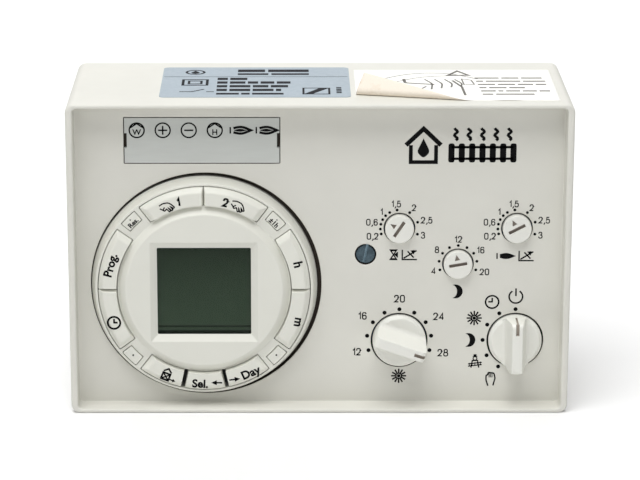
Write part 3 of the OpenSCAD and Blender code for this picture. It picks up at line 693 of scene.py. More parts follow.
class Recipe:
    """A node material that is built step by step from patterns in object space."""

    def __init__(self, name, roughness, metallic=0.0, specular=0.5):
        self.material = bpy.data.materials.new(name)
        self.material.use_nodes = True
        self.tree = self.material.node_tree
        self.shader = self.tree.nodes["Principled BSDF"]
        self.shader.inputs["Roughness"].default_value = roughness
        self.shader.inputs["Metallic"].default_value = metallic
        self.shader.inputs["Specular IOR Level"].default_value = specular
        self.places = self.tree.nodes.new("ShaderNodeTexCoord").outputs["Object"]

    def node(self, kind, inputs, output=0, **settings):
        made = self.tree.nodes.new("ShaderNode" + kind)
        for name, value in settings.items():
            setattr(made, name, value)
        for name, value in inputs.items():
            if isinstance(value, bpy.types.NodeSocket):
                self.tree.links.new(value, made.inputs[name])
            else:
                made.inputs[name].default_value = value
        return made.outputs[output]

    def stretched(self, scale, turn=(0, 0, 0)):
        return self.node("Mapping", {"Vector": self.places, "Scale": scale, "Rotation": turn})

    def noise(self, size_mm, detail=2.0, places=None):
        """Soft clouds about as wide as the given size."""
        return self.node("TexNoise", {"Vector": places or self.places, "Scale": 1 / (size_mm * MM),
                                      "Detail": detail, "Roughness": 0.55})

    def ramp(self, value, low, high, start=0.3, end=0.7):
        """Turns a pattern into a colour between low and high."""
        made = self.tree.nodes.new("ShaderNodeValToRGB")
        made.color_ramp.elements[0].position, made.color_ramp.elements[1].position = start, end
        made.color_ramp.elements[0].color = (*low, 1)
        made.color_ramp.elements[1].color = (*high, 1)
        self.tree.links.new(value, made.inputs["Fac"])
        return made.outputs["Color"]

    def span(self, value, low, high, start=0.3, end=0.7):
        """Turns a pattern into a number between low and high."""
        return self.node("MapRange", {"Value": value, "From Min": start, "From Max": end,
                                      "To Min": low, "To Max": high})

    def blend(self, share, low, high):
        made = self.tree.nodes.new("ShaderNodeMix")
        made.data_type = "RGBA"
        for index, value in ((0, share), (6, low), (7, high)):
            if isinstance(value, bpy.types.NodeSocket):
                self.tree.links.new(value, made.inputs[index])
            else:
                made.inputs[index].default_value = value if index == 0 else (*value, 1)
        return made.outputs[2]

    def colour(self, socket):
        self.tree.links.new(socket, self.shader.inputs["Base Color"])

    def roughness(self, socket):
        self.tree.links.new(socket, self.shader.inputs["Roughness"])

    def bump(self, *layers):
        """Adds surface relief from (height socket, depth in millimetres) layers."""
        normal = None
        for height, depth in layers:
            inputs = {"Height": height, "Distance": depth * MM, "Strength": 1.0}
            if normal is not None:
                inputs["Normal"] = normal
            normal = self.node("Bump", inputs)
        self.tree.links.new(normal, self.shader.inputs["Normal"])


def tinted(colour, change):
    """A lighter or darker version of a colour."""
    return tuple(min(1.0, c * change) for c in colour)


def moulded(name, colour, roughness=0.45, grain=0.35, depth=0.012, mottle=0.02):
    """Moulded plastic: a spark-eroded grain, faint flow clouds and an uneven gloss."""
    made = Recipe(name, roughness, specular=0.4)
    clouds = made.noise(22, 3)
    made.colour(made.ramp(clouds, tinted(colour, 1 - mottle), tinted(colour, 1 + mottle)))
    made.roughness(made.span(made.noise(6, 4), roughness - 0.05, roughness + 0.07))
    made.bump((made.noise(grain, 2), depth), (made.noise(grain * 12, 2), depth * 2))
    return made.material


def printed(name, colour):
    """Screen-printed ink: slightly glossy, with thin spots."""
    made = Recipe(name, 0.6, specular=0.08)
    made.colour(made.ramp(made.noise(0.5, 3), colour, tinted(colour, 1.6), 0.35, 0.8))
    made.bump((made.noise(0.18, 2), 0.004))
    return made.material


def metal(name, colour, roughness=0.3, turned=0.12):
    """Plated metal with fine tool marks and small stains."""
    made = Recipe(name, roughness, metallic=1.0)
    stains = made.noise(1.6, 5)
    made.colour(made.ramp(stains, tinted(colour, 0.72), tinted(colour, 1.2), 0.3, 0.75))
    made.roughness(made.span(made.noise(0.9, 4), roughness - 0.08, roughness + 0.15))
    lines = made.noise(turned, 2, made.stretched((1, 0.15, 1)))
    made.bump((lines, 0.006))
    return made.material


def circuit(name, mask_colour, track_colour):
    """A circuit board: solder mask with straight tracks and pads under it."""
    made = Recipe(name, 0.35, specular=0.5)
    tracks = made.node("TexBrick", {"Vector": made.stretched((1, 1, 1), (math.pi / 2, 0, 0)), "Scale": 160.0,
                                    "Mortar Size": 0.03, "Brick Width": 0.9, "Row Height": 0.4}, "Fac")
    pads = made.node("TexVoronoi", {"Vector": made.places, "Scale": 400.0}, "Distance")
    board = made.blend(tracks, mask_colour, tinted(track_colour, 1.0))
    made.colour(made.blend(made.span(pads, 1, 0, 0.12, 0.16), board, track_colour))
    made.bump((tracks, 0.03), (made.noise(0.3, 2), 0.005))
    return made.material


def windings(name, colour):
    """A coil under tape: close turns that show through."""
    made = Recipe(name, 0.4, specular=0.5)
    turns = made.node("TexWave", {"Vector": made.places, "Scale": 700.0, "Distortion": 0.4},
                      "Fac", bands_direction="Y")
    made.colour(made.ramp(turns, tinted(colour, 0.6), tinted(colour, 1.15), 0.2, 0.8))
    made.bump((turns, 0.05))
    return made.material


def laminations(name, colour):
    """A stack of thin steel sheets with traces of varnish."""
    made = Recipe(name, 0.42, metallic=0.8)
    sheets = made.node("TexWave", {"Vector": made.places, "Scale": 620.0, "Distortion": 0.1},
                       "Fac", bands_direction="Z")
    made.colour(made.ramp(made.noise(3, 4), tinted(colour, 0.75), tinted(colour, 1.25)))
    made.bump((sheets, 0.06), (made.noise(0.4), 0.01))
    return made.material


def foil(name, colour):
    """Matt label foil with a faint crinkle."""
    made = Recipe(name, 0.34, specular=0.5)
    made.colour(made.ramp(made.noise(9, 3), tinted(colour, 0.97), tinted(colour, 1.03)))
    made.roughness(made.span(made.noise(1.4, 4), 0.3, 0.42))
    made.bump((made.noise(4, 2), 0.02), (made.noise(0.25, 2), 0.004))
    return made.material


def paper(name, colour, stain, coverage=0.62):
    """Paper: short fibres, a soft sheen and old stains."""
    made = Recipe(name, 0.75, specular=0.25)
    fibres = made.noise(0.22, 5, made.stretched((1, 0.45, 1), (0, 0, 0.5)))
    sheet = made.ramp(fibres, tinted(colour, 0.95), tinted(colour, 1.02))
    spots = made.span(made.noise(5, 5), 0, 1, coverage, coverage + 0.2)
    made.colour(made.blend(spots, sheet, stain))
    made.bump((fibres, 0.01), (made.noise(5, 2), 0.06))
    return made.material


def clear_window(name, colour):
    """Clear moulded window with faint wiping marks."""
    made = Recipe(name, 0.04, specular=0.3)
    made.shader.inputs["Alpha"].default_value = 0.2
    made.colour(made.ramp(made.noise(8, 2), tinted(colour, 0.8), colour))
    made.roughness(made.span(made.noise(0.8, 5, made.stretched((0.3, 1, 1))), 0.03, 0.12, 0.4, 0.8))
    return made.material


def liquid_crystal(name, colour, foot_tint_and_reflection):
    """A dark display cell that turns lighter and greener towards its foot, partly its own tint and partly
    painted reflection, with a dark line and a very dark band near its foot.
    """
    made = Recipe(name, 0.35, specular=0.08)
    across = made.tree.nodes.new("ShaderNodeTexCoord").outputs["Generated"]
    height = made.node("SeparateXYZ", {"Vector": across}, "Z")
    cloudy = made.ramp(made.noise(11, 2), tinted(colour, 0.93), tinted(colour, 1.07))
    # Lighter and greener towards the foot: partly the cell's own tint, partly painted reflection.
    cell_with_reflection = made.blend(made.span(height, 1, 0, 0, 1), cloudy, foot_tint_and_reflection)
    low, high = span("display_glass")
    seen = (DISPLAY[1] - DISPLAY_OPENING[1] / 2 - low.z) / (high.z - low.z)
    # A dark line, and below it a very dark band, near the foot of the opening.
    edge = made.span(height, 1, 0, seen + 0.072, seen + 0.08)
    line = made.span(height, 0, 1, seen + 0.052, seen + 0.06)
    dark_line = made.node("Math", {0: edge, 1: line}, operation="MULTIPLY")
    foot = made.span(height, 1, 0, seen + 0.02, seen + 0.03)
    marked = made.blend(dark_line, cell_with_reflection, tinted(colour, 0.6))
    made.colour(made.blend(foot, marked, tinted(colour, 0.25)))
    made.bump((made.noise(0.15, 2), 0.003))
    return made.material


def smoked(name, colour):
    """The translucent lamp film: matt, even and lightly brushed."""
    made = Recipe(name, 0.5, specular=0.35)
    brushed = made.noise(1.2, 4, made.stretched((0.12, 1, 1)))
    made.colour(made.ramp(brushed, tinted(colour, 0.98), tinted(colour, 1.03)))
    made.bump((made.noise(0.2, 3), 0.008))
    return made.material


def lens(name, colour):
    """Diffused lamp resin."""
    made = Recipe(name, 0.25, specular=0.5)
    made.shader.inputs["Transmission Weight"].default_value = 0.35
    made.colour(made.ramp(made.noise(1.2, 3), tinted(colour, 0.85), tinted(colour, 1.15)))
    made.bump((made.noise(0.5, 2), 0.01))
    return made.material


def finish(name):
    """The material of that name, made once for all the pieces that use it."""
    if name in bpy.data.materials:
        return bpy.data.materials[name]
    return FINISHES[name](name)


def colours():
    return bpy.context.scene.controller_colours


FINISHES = {
    "case plastic": lambda name: moulded(name, tuple(colours().case), 0.5),
    "cover plastic": lambda name: moulded(name, tinted(colours().case, 0.94), 0.52),
    "clock plastic": lambda name: moulded(name, tuple(colours().clock), 0.42, 0.3, 0.006),
    "key plastic": lambda name: moulded(name, tinted(colours().clock, 1.01), 0.36, 0.3, 0.004),
    "knob plastic": lambda name: moulded(name, tuple(colours().knob), 0.36, 0.3, 0.004),
    # Painted shade: the knobs' slots take a darker brown in place of the shadow inside them.
    "knob painted slot shade": lambda name: moulded(name, tinted(colours().recess, 1.3), 0.6, 0.2, 0.004),
    "trimmer plastic": lambda name: moulded(name, tinted(colours().knob, 0.99), 0.4, 0.3, 0.004),
    # Grey-brown in the trimmers' slots and arrows: partly dirt, partly painted shade.
    "trimmer dirt and painted shade": lambda name: moulded(name, tuple(colours().recess), 0.6, 0.2, 0.006),
    # Painted shade: dark brown on the walls deep in the panel's holes, in place of the shadow in the gaps.
    "painted shade in gaps": lambda name: moulded(name, tuple(colours().gap), 0.7, 0.3, 0.01, 0.1),
    "lamp lens": lambda name: smoked(name, tuple(colours().lamp_window)),
    "lcd window": lambda name: clear_window(name, paint(40, 52, 42)),
    "lcd cell": lambda name: liquid_crystal(name, tuple(colours().display), tuple(colours().display_foot)),
    "rating foil": lambda name: foil(name, tuple(colours().foil)),
    "notice paper": lambda name: paper(name, tuple(colours().paper), paint(222, 212, 196), 0.7),
    "notice back": lambda name: paper(name, tuple(colours().paper_back), paint(222, 206, 184), 0.55),
    "ink": lambda name: printed(name, tuple(colours().ink)),
    "label ink": lambda name: printed(name, paint(22, 23, 28)),
    "pencil ink": lambda name: printed(name, paint(104, 102, 98)),
    "screw steel": lambda name: metal(name, paint(185, 187, 190)),
    "blued steel": lambda name: metal(name, tuple(colours().screw), 0.26),
    # Painted highlight: the screw's slot is a much lighter steel, in place of the light that its walls catch.
    "steel with painted slot highlight": lambda name: metal(name, tinted(colours().screw, 1.9), 0.3),
    "contact brass": lambda name: metal(name, paint(205, 178, 112), 0.28),
    "cell steel": lambda name: metal(name, paint(196, 198, 202), 0.22),
    "core steel": lambda name: laminations(name, paint(112, 114, 118)),
    "coil tape": lambda name: windings(name, paint(214, 172, 76)),
    "board green": lambda name: circuit(name, paint(24, 92, 52), paint(66, 128, 74)),
    "black plastic": lambda name: moulded(name, paint(38, 38, 40), 0.5, 0.3, 0.01, 0.12),
    "relay plastic": lambda name: moulded(name, paint(34, 62, 122), 0.35, 0.3, 0.008, 0.06),
    "body plastic": lambda name: moulded(name, paint(64, 88, 124), 0.45, 0.3, 0.008, 0.06),
    "capacitor sleeve": lambda name: moulded(name, paint(42, 42, 76), 0.3, 0.5, 0.004, 0.08),
    "fuse glass": lambda name: lens(name, paint(214, 218, 220)),
    "lamp red": lambda name: lens(name, paint(200, 52, 40)),
    "spindle plastic": lambda name: moulded(name, paint(214, 214, 208), 0.45, 0.3, 0.006),
    "mat rubber": lambda name: moulded(name, paint(132, 134, 136), 0.7, 0.4, 0.02, 0.06),
    "strip rubber": lambda name: moulded(name, paint(216, 142, 152), 0.65, 0.3, 0.02, 0.1),
}

# CAD nodes that stay as they are and only get a finish.
DRESSED = {
    "lamp lens": ["lamp_window"],
    "lcd window": ["display_window"],
    "lcd cell": ["display_glass"],
    "strip rubber": ["display_strips"],
    "mat rubber": ["key_mat"],
    "board green": ["control_board", "main_board", "clock_board"],
    "screw steel": ["board_screws"],
    "contact brass": ["plug_blades", "link_pins", "clock_pins"],
    "black plastic": ["lamp_shield", "rear_plug", "controller_chip", "clock_socket", "mode_switch"],
    "clock plastic": ["clock_case"],
    "core steel": ["transformer_core"],
    "coil tape": ["transformer_coil"],
    "relay plastic": ["relays"],
    "capacitor sleeve": ["capacitors"],
    "fuse glass": ["fuse"],
    "lamp red": ["lamps"],
    "cell steel": ["battery"],
    "body plastic": ["temperature_potentiometer", "valve_potentiometer", "burner_potentiometer",
                     "night_potentiometer"],
    "spindle plastic": ["temperature_spindle", "mode_spindle", "valve_stem", "burner_stem", "night_stem"],
}


# --- Settings ------------------------------------------------------------------------------

def length(name, description, default):
    """A size that a user can change. The camera's unit is the one that is shown in millimetres."""
    return bpy.props.FloatProperty(name=name, description=description, default=default, min=0.0,
                                   unit="CAMERA")


def colour(name, description, default):
    return bpy.props.FloatVectorProperty(name=name, description=description, default=default,
                                         subtype="COLOR", min=0.0, max=1.0)


class ControllerSizes(bpy.types.PropertyGroup):
    """Roundings and depths of the visible pieces, in millimetres."""
    rim_edge: length("Rim edge", "Rounding of the rim's outer edge", 0.9)
    rim_inside: length("Rim inside", "Rounding of the rim's inner edge", 0.7)
    rim_slim: bpy.props.FloatProperty(name="Rim slimness",
                                      description="Share of the side walls' thickness kept above and below",
                                      default=0.6, min=0.1, max=1.0, subtype="FACTOR")
    hole_edge: length("Hole edge", "Rounding round the holes in the panel", 0.15)
    key_slope: length("Key slope", "Width of the large keys' outer slope", 1.45)
    key_flank: length("Key flank", "Height at which that slope starts", 3.9)
    wing_front: length("Wing front", "Width of a knob's wing at its front", 3.0)
    wing_root: length("Wing root", "Width of a knob's wing at its root", 6.1)
    wing_end: length("Wing end", "Rounding of a wing's front corners", 1.5)
    print_skin: length("Print skin", "Thickness of the printed ink", 0.03)
    peel_radius: length("Peel radius", "Radius of the fold in the paper notice", 1.2)
    peel_angle: bpy.props.FloatProperty(name="Peel angle",
                                        description="How far the paper's corner is folded up",
                                        default=math.radians(129), subtype="ANGLE")


class ControllerColours(bpy.types.PropertyGroup):
    """Colours of the visible pieces."""
    case: colour("Case", "Plastic of the case and its panel", paint(220, 219, 211))
    clock: colour("Clock", "Plastic of the clock and its keys", paint(224, 224, 215))
    knob: colour("Knob", "Plastic of the knobs and trimmers", paint(232, 232, 225))
    # Partly dirt and partly painted shade in the trimmers' slots and arrows. Lightened, it is the painted
    # shade in the knobs' slots.
    recess: colour("Recess", "Floor of the slots in the trimmers", paint(148, 139, 129))
    # Painted shade: a dark brown for the walls deep in the gaps, in place of the shadow that falls into them.
    gap: colour("Gap", "Walls of the gaps round the clock, the knobs and the lamp window", paint(52, 44, 36))
    lamp_window: colour("Lamp window", "Film over the lamps", paint(200, 203, 199))
    display: colour("Display", "Display cell", paint(52, 66, 52))
    # Lighter, greener colour at the display's foot: partly the cell's tint, partly painted reflection.
    display_foot: colour("Display foot", "Display cell at its foot", paint(76, 94, 76))
    foil: colour("Foil", "Rating label", paint(150, 165, 176))
    paper: colour("Paper", "Front of the paper notice", paint(252, 251, 246))
    paper_back: colour("Paper back", "Back of the paper notice", paint(244, 234, 220))
    ink: colour("Ink", "Print on the panel and the keys", paint(10, 10, 11))
    screw: colour("Screw", "Head of the fixing screw", paint(78, 93, 101))


class ControllerStage(bpy.types.PropertyGroup):
    """Camera, floor and light."""
    elevation: bpy.props.FloatProperty(name="Elevation", description="Camera angle above the horizon",
                                       default=math.radians(16.31), subtype="ANGLE")
    azimuth: bpy.props.FloatProperty(name="Azimuth", description="Camera angle to the right of the front",
                                     default=math.radians(-0.11), subtype="ANGLE")
    distance: bpy.props.FloatProperty(name="Distance", description="Camera distance from its target",
                                      default=0.79567, unit="LENGTH")
    lens: bpy.props.FloatProperty(name="Lens", description="Focal length of the camera",
                                  default=156.85, unit="CAMERA")
    shift: bpy.props.FloatProperty(name="Shift", description="Sideways shift of the picture", default=0.0438)
    floor: colour("Floor", "Floor and backdrop", paint(252, 252, 252))
    top_light: bpy.props.FloatProperty(name="Top light", description="Power of the light overhead",
                                       default=12.6, subtype="POWER")
    front_light: bpy.props.FloatProperty(name="Front light", description="Power of the light at the front",
                                         default=0.75, subtype="POWER")
    back_light: bpy.props.FloatProperty(name="Back light", description="Power of the light on the backdrop",
                                        default=26.0, subtype="POWER")
    sky: bpy.props.FloatProperty(name="Sky", description="Strength of the even light from all round",
                                 default=0.25)


# --- Pieces --------------------------------------------------------------------------------

def case_outline(inset, slim=1.0):
    """Outline of the case inside its outer faces, with a slimmer wall above and below on request."""
    corner = mix(CORNER_R, 1.3, min(inset / WALL, 1)) - max(inset - WALL, 0)
    wide, tall = CASE_W - 2 * inset, CASE_H - 2 * inset * slim
    return rectangle((0, CASE_H / 2), (wide, tall), max(corner, 0.3), 6)


def edged_hole(centre, radius, edge, count=64):
    """Steps of a round hole through the panel with a softened front edge."""
    profile = path([(radius + 2 * edge, 0), (radius, 0), (radius, -PANEL_T)], [0, edge, 0])
    return [(circle(centre, r, count), h) for r, h in profile]


class BuildCase(bpy.types.Operator):
    """The case with its rim, panel, holes and inner bosses"""
    bl_idname = "controller.build_case"
    bl_label = "Case"

    def execute(self, context):
        size = context.scene.controller_sizes
        shell = Shell()
        profile = path([(WALL, -PANEL_T), (WALL, -BACK), (0, -BACK), (0, RIM), (WALL, RIM), (WALL, 0),
                        (WALL + 0.6, 0)], [0, 0.3, 0.4, size.rim_edge, size.rim_inside, 0.4, 0], 4)
        rear, panel = shell.stack([(case_outline(t, 1.0 if h < 0 else size.rim_slim), h) for t, h in profile])
        fronts, rears = [panel], [rear]
        hole_r = CLOCK_R + CLOCK_GAP
        collar = [(hole_r + 0.6, 0), (hole_r, 0), (hole_r, -2), (CLOCK_R + 0.05, -2), (CLOCK_R + 0.05, -4.2),
                  (CLOCK_R - 0.25, -4.2), (CLOCK_R - 0.25, -8), (hole_r + 1.3, -8), (hole_r + 1.3, -PANEL_T)]
        collar = path(collar, [0, 0.3, 0, 0, 0, 0, 0, 0, 0])
        # The front of this hole sits a little to the upper right, so its gap is uneven.
        shifted = (CLOCK[0] + 0.48, CLOCK[1] + 0.34)
        holes = [[(circle(shifted if r > CLOCK_R + 0.1 and h > -3 else CLOCK, r, 192), h) for r, h in collar]]
        cover_depth = BACK - COVER_T
        tube = [(SCREW_HOLE_R + 0.3, 0), (SCREW_HOLE_R, 0), (SCREW_HOLE_R, -SCREW_SEAT), (1.7, -SCREW_SEAT),
                (1.7, -cover_depth), (SCREW_HOLE_R + 1.1, -cover_depth), (SCREW_HOLE_R + 1.1, -PANEL_T)]
        tube = path(tube, [0, 0.15, 0, 0, 0, 0, 0])
        holes.append([(circle(SCREW, r, 48), h) for r, h in tube])
        for dial in DIAL_ENDS:
            radius = KNOB_R + KNOB_GAP if "knob" in dial else TRIMMER_R + TRIMMER_GAP
            holes.append(edged_hole(axis_of(dial), radius, size.hole_edge, 96))
        pocket = path([(-0.4, 0), (-0.11, 0), (-0.11, -1.2), (LAMP_LEDGE, -1.2), (LAMP_LEDGE, -PANEL_T)],
                      [0, 0.12, 0, 0, 0])
        holes.append([(rectangle(LAMPS, [side - 2 * t for side in LAMP_POCKET], 0.32, 2), h)
                      for t, h in pocket])
        for steps in holes:
            # Bands deeper than 0.1 mm behind the front take the second finish: painted shade in place of the
            # gaps' shadow.
            first, last = shell.stack(steps, 0, -0.1)
            fronts.append(first)
            rears.append(last)
        right = span("control_board")[1].x - 4
        left = CLOCK[0] + hole_r + 7.5
        posts = [(left, 16), (left, CASE_H - 16), (right, CASE_H - 16), (right, 38)]
        bosses = [(at, 3.5, 1.4, cover_depth, 12) for at in CORNER_SCREWS]
        bosses += [(at, 2.5, 1.1, 12, 5.4) for at in posts]
        for at, outer, inner, depth, bore in bosses:
            boss = [(outer, -PANEL_T), (outer, -depth), (inner, -depth), (inner, bore - depth)]
            first, last = shell.stack([(circle(at, r, 32), h) for r, h in boss])
            rears.append(first)
            shell.lid(last)
        shell.plate(fronts)
        shell.plate(rears)
        case = shell.piece("case", "housing", [finish("case plastic"), finish("painted shade in gaps")])
        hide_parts("front_housing")
        return {"FINISHED"}


class BuildCover(bpy.types.Operator):
    """The rear cover with its vents, screws' seats and plug opening"""
    bl_idname = "controller.build_cover"
    bl_label = "Rear cover"

    def execute(self, context):
        shell = Shell()
        size_in = (CASE_W - 2 * WALL - 2 * FIT, CASE_H - 2 * WALL - 2 * FIT)

        def outline(inset):
            return rectangle((0, CASE_H / 2), [side - 2 * inset for side in size_in], INNER_R - FIT, 5)

        inside, outside = -(BACK - COVER_T), -BACK
        edge = path([(0, inside), (0, outside), (0.6, outside)], [0, 0.3, 0])
        first, last = shell.stack([(outline(t), h) for t, h in edge])
        inner, outer = [first], [last]
        rounds = [(at, [(1.6, inside), (1.6, outside + 1.8), (2.9, outside + 1.8), (2.9, outside),
                        (3.4, outside)], [0, 0, 0, 0.2, 0]) for at in CORNER_SCREWS]
        rounds.append((SCREW, [(1.7, inside), (1.7, outside), (2.2, outside)], [0, 0.2, 0]))
        holes = [[(circle(at, r, 40), h) for r, h in path(steps, cuts)] for at, steps, cuts in rounds]
        through = path([(0, inside), (0, outside), (0.6, outside)], [0, 0.25, 0])
        slots = [((side * 28 + (k - 3) * 5, CASE_H - 26), (2, 14), 0.99)
                 for side in (-1, 1) for k in range(7)]
        slots.append((PLUG, (50.4, 10.4), 0.5))
        for centre, opening, corner in slots:
            holes.append([(rectangle(centre, [side + 2 * t for side in opening], corner + t, 4), h)
                          for t, h in through])
        for steps in holes:
            first, last = shell.stack(steps)
            inner.append(first)
            outer.append(last)
        main_back = PANEL_Y - span("main_board")[1].y
        for sx in (-1, 1):
            for sz in (-1, 1):
                at = (sx * 54, CASE_H / 2 + sz * 34)
                post = [(2.6, inside), (2.6, main_back), (1.1, main_back), (1.1, main_back - 5.4)]
                first, last = shell.stack([(circle(at, r, 24), h) for r, h in post])
                inner.append(first)
                shell.lid(last)
        shell.plate(inner)
        shell.plate(outer)
        cover = shell.piece("rear_cover_plate", "housing", [finish("cover plastic")])
        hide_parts("rear_cover")
        return {"FINISHED"}


def screw_head(shell, centre, radius, face, depth, count=40):
    """A cheese head between its face and its seat, as a closed shell with an open stub for its shank."""
    profile = path([(radius - 1.0, face), (radius, face), (radius, face - depth)], [0, 0.35, 0])
    first, last = shell.stack([(circle(centre, r, count), h) for r, h in profile])
    shell.lid(first)
    return last


def threaded(shell, centre, radius, pitch, start, length_mm, count=24):
    """Adds a threaded rod's skin: rows whose radius follows the thread as it winds."""
    rows = []
    steps = int(length_mm / pitch * 6)
    for row in range(steps + 1):
        height = start - length_mm * row / steps
        taper = min(row, steps - row, 4) / 4
        outline = []
        for k in range(count):
            phase = (length_mm * row / steps / pitch + k / count) % 1
            depth = 0.3 * pitch * 2 * abs(phase - 0.5) * taper + 0.3 * pitch * (1 - taper)
            angle = math.tau * k / count
            r = radius - depth
            outline.append((centre[0] + r * math.sin(angle), centre[1] + r * math.cos(angle)))
        rows.append((outline, height))
    return rows


class BuildScrews(bpy.types.Operator):
    """The fixing screw and the cover's screws"""
    bl_idname = "controller.build_screws"
    bl_label = "Screws"

    def execute(self, context):
        head_r = SCREW_HOLE_R - 0.25
        end = PANEL_Y - span("fixing_screw")[1].y
        shell = Shell()
        seat = screw_head(shell, SCREW, head_r, -0.3, 2.5, 48)
        thread_start = -(BACK + 0.5)
        shank = [(circle(SCREW, 1.25, 48), -SCREW_SEAT), (circle(SCREW, 1.25, 48), thread_start)]
        rows = threaded(shell, SCREW, 1.5, 0.5, thread_start, thread_start - end, 48)
        first, last = shell.stack(shank + rows)
        shell.band(seat, first)
        shell.lid(last)

        def turned(x, z, height):
            angle = math.radians(12)
            return front(SCREW[0] + x * math.cos(angle) + z * math.sin(angle),
                         SCREW[1] - x * math.sin(angle) + z * math.cos(angle), height)

        # The slot's faces take the second finish: the painted highlight.
        slot_cut = block(turned, (-0.4, -4, -1.2), (0.4, 4, 1))
        steel = [finish("blued steel"), finish("steel with painted slot highlight")]
        screw = show("fixing_bolt", combined(shell.data("bolt"), [(slot_cut, "DIFFERENCE")], steel),
                     "housing", steel)
        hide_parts("fixing_screw")

        shell = Shell()
        cuts = []
        for at in CORNER_SCREWS:
            profile = path([(0.3, -BACK), (2.7, -BACK), (2.7, -BACK + 1.8), (1.4, -BACK + 1.8)],
                           [0, 0.4, 0, 0])
            rows = threaded(shell, at, 1.4, 0.9, -BACK + 1.8, -12, 32)
            first, last = shell.stack([(circle(at, r, 32), h) for r, h in profile] + rows)
            shell.lid(first)
            shell.lid(last)
            for wide, tall in ((1.7, 0.4), (0.4, 1.7)):
                cuts.append(block(front, (at[0] - wide, at[1] - tall, -BACK - 1),
                                  (at[0] + wide, at[1] + tall, -BACK + 0.9)))
        steel = [finish("screw steel"), finish("screw steel")]
        data = combined(shell.data("cover screws"), [(cut, "DIFFERENCE") for cut in cuts], steel)
        screws = show("cover_screw_set", data, "housing", steel)
        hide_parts("cover_screws")
        return {"FINISHED"}


def top_surface(node):
    """Places x, y and a height above the top face of a label."""
    top = span(node)[1].z

    def place(x, y, height):
        return Vector((x, y, top + height)) * MM
    return place


def draw_words(ink, x, y, lengths, height, gap=0.9):
    """A line of text as bars, one to a word, from its left end."""
    for word in lengths:
        ink.bar(x + word / 2, y, word, height)
        x += word + gap


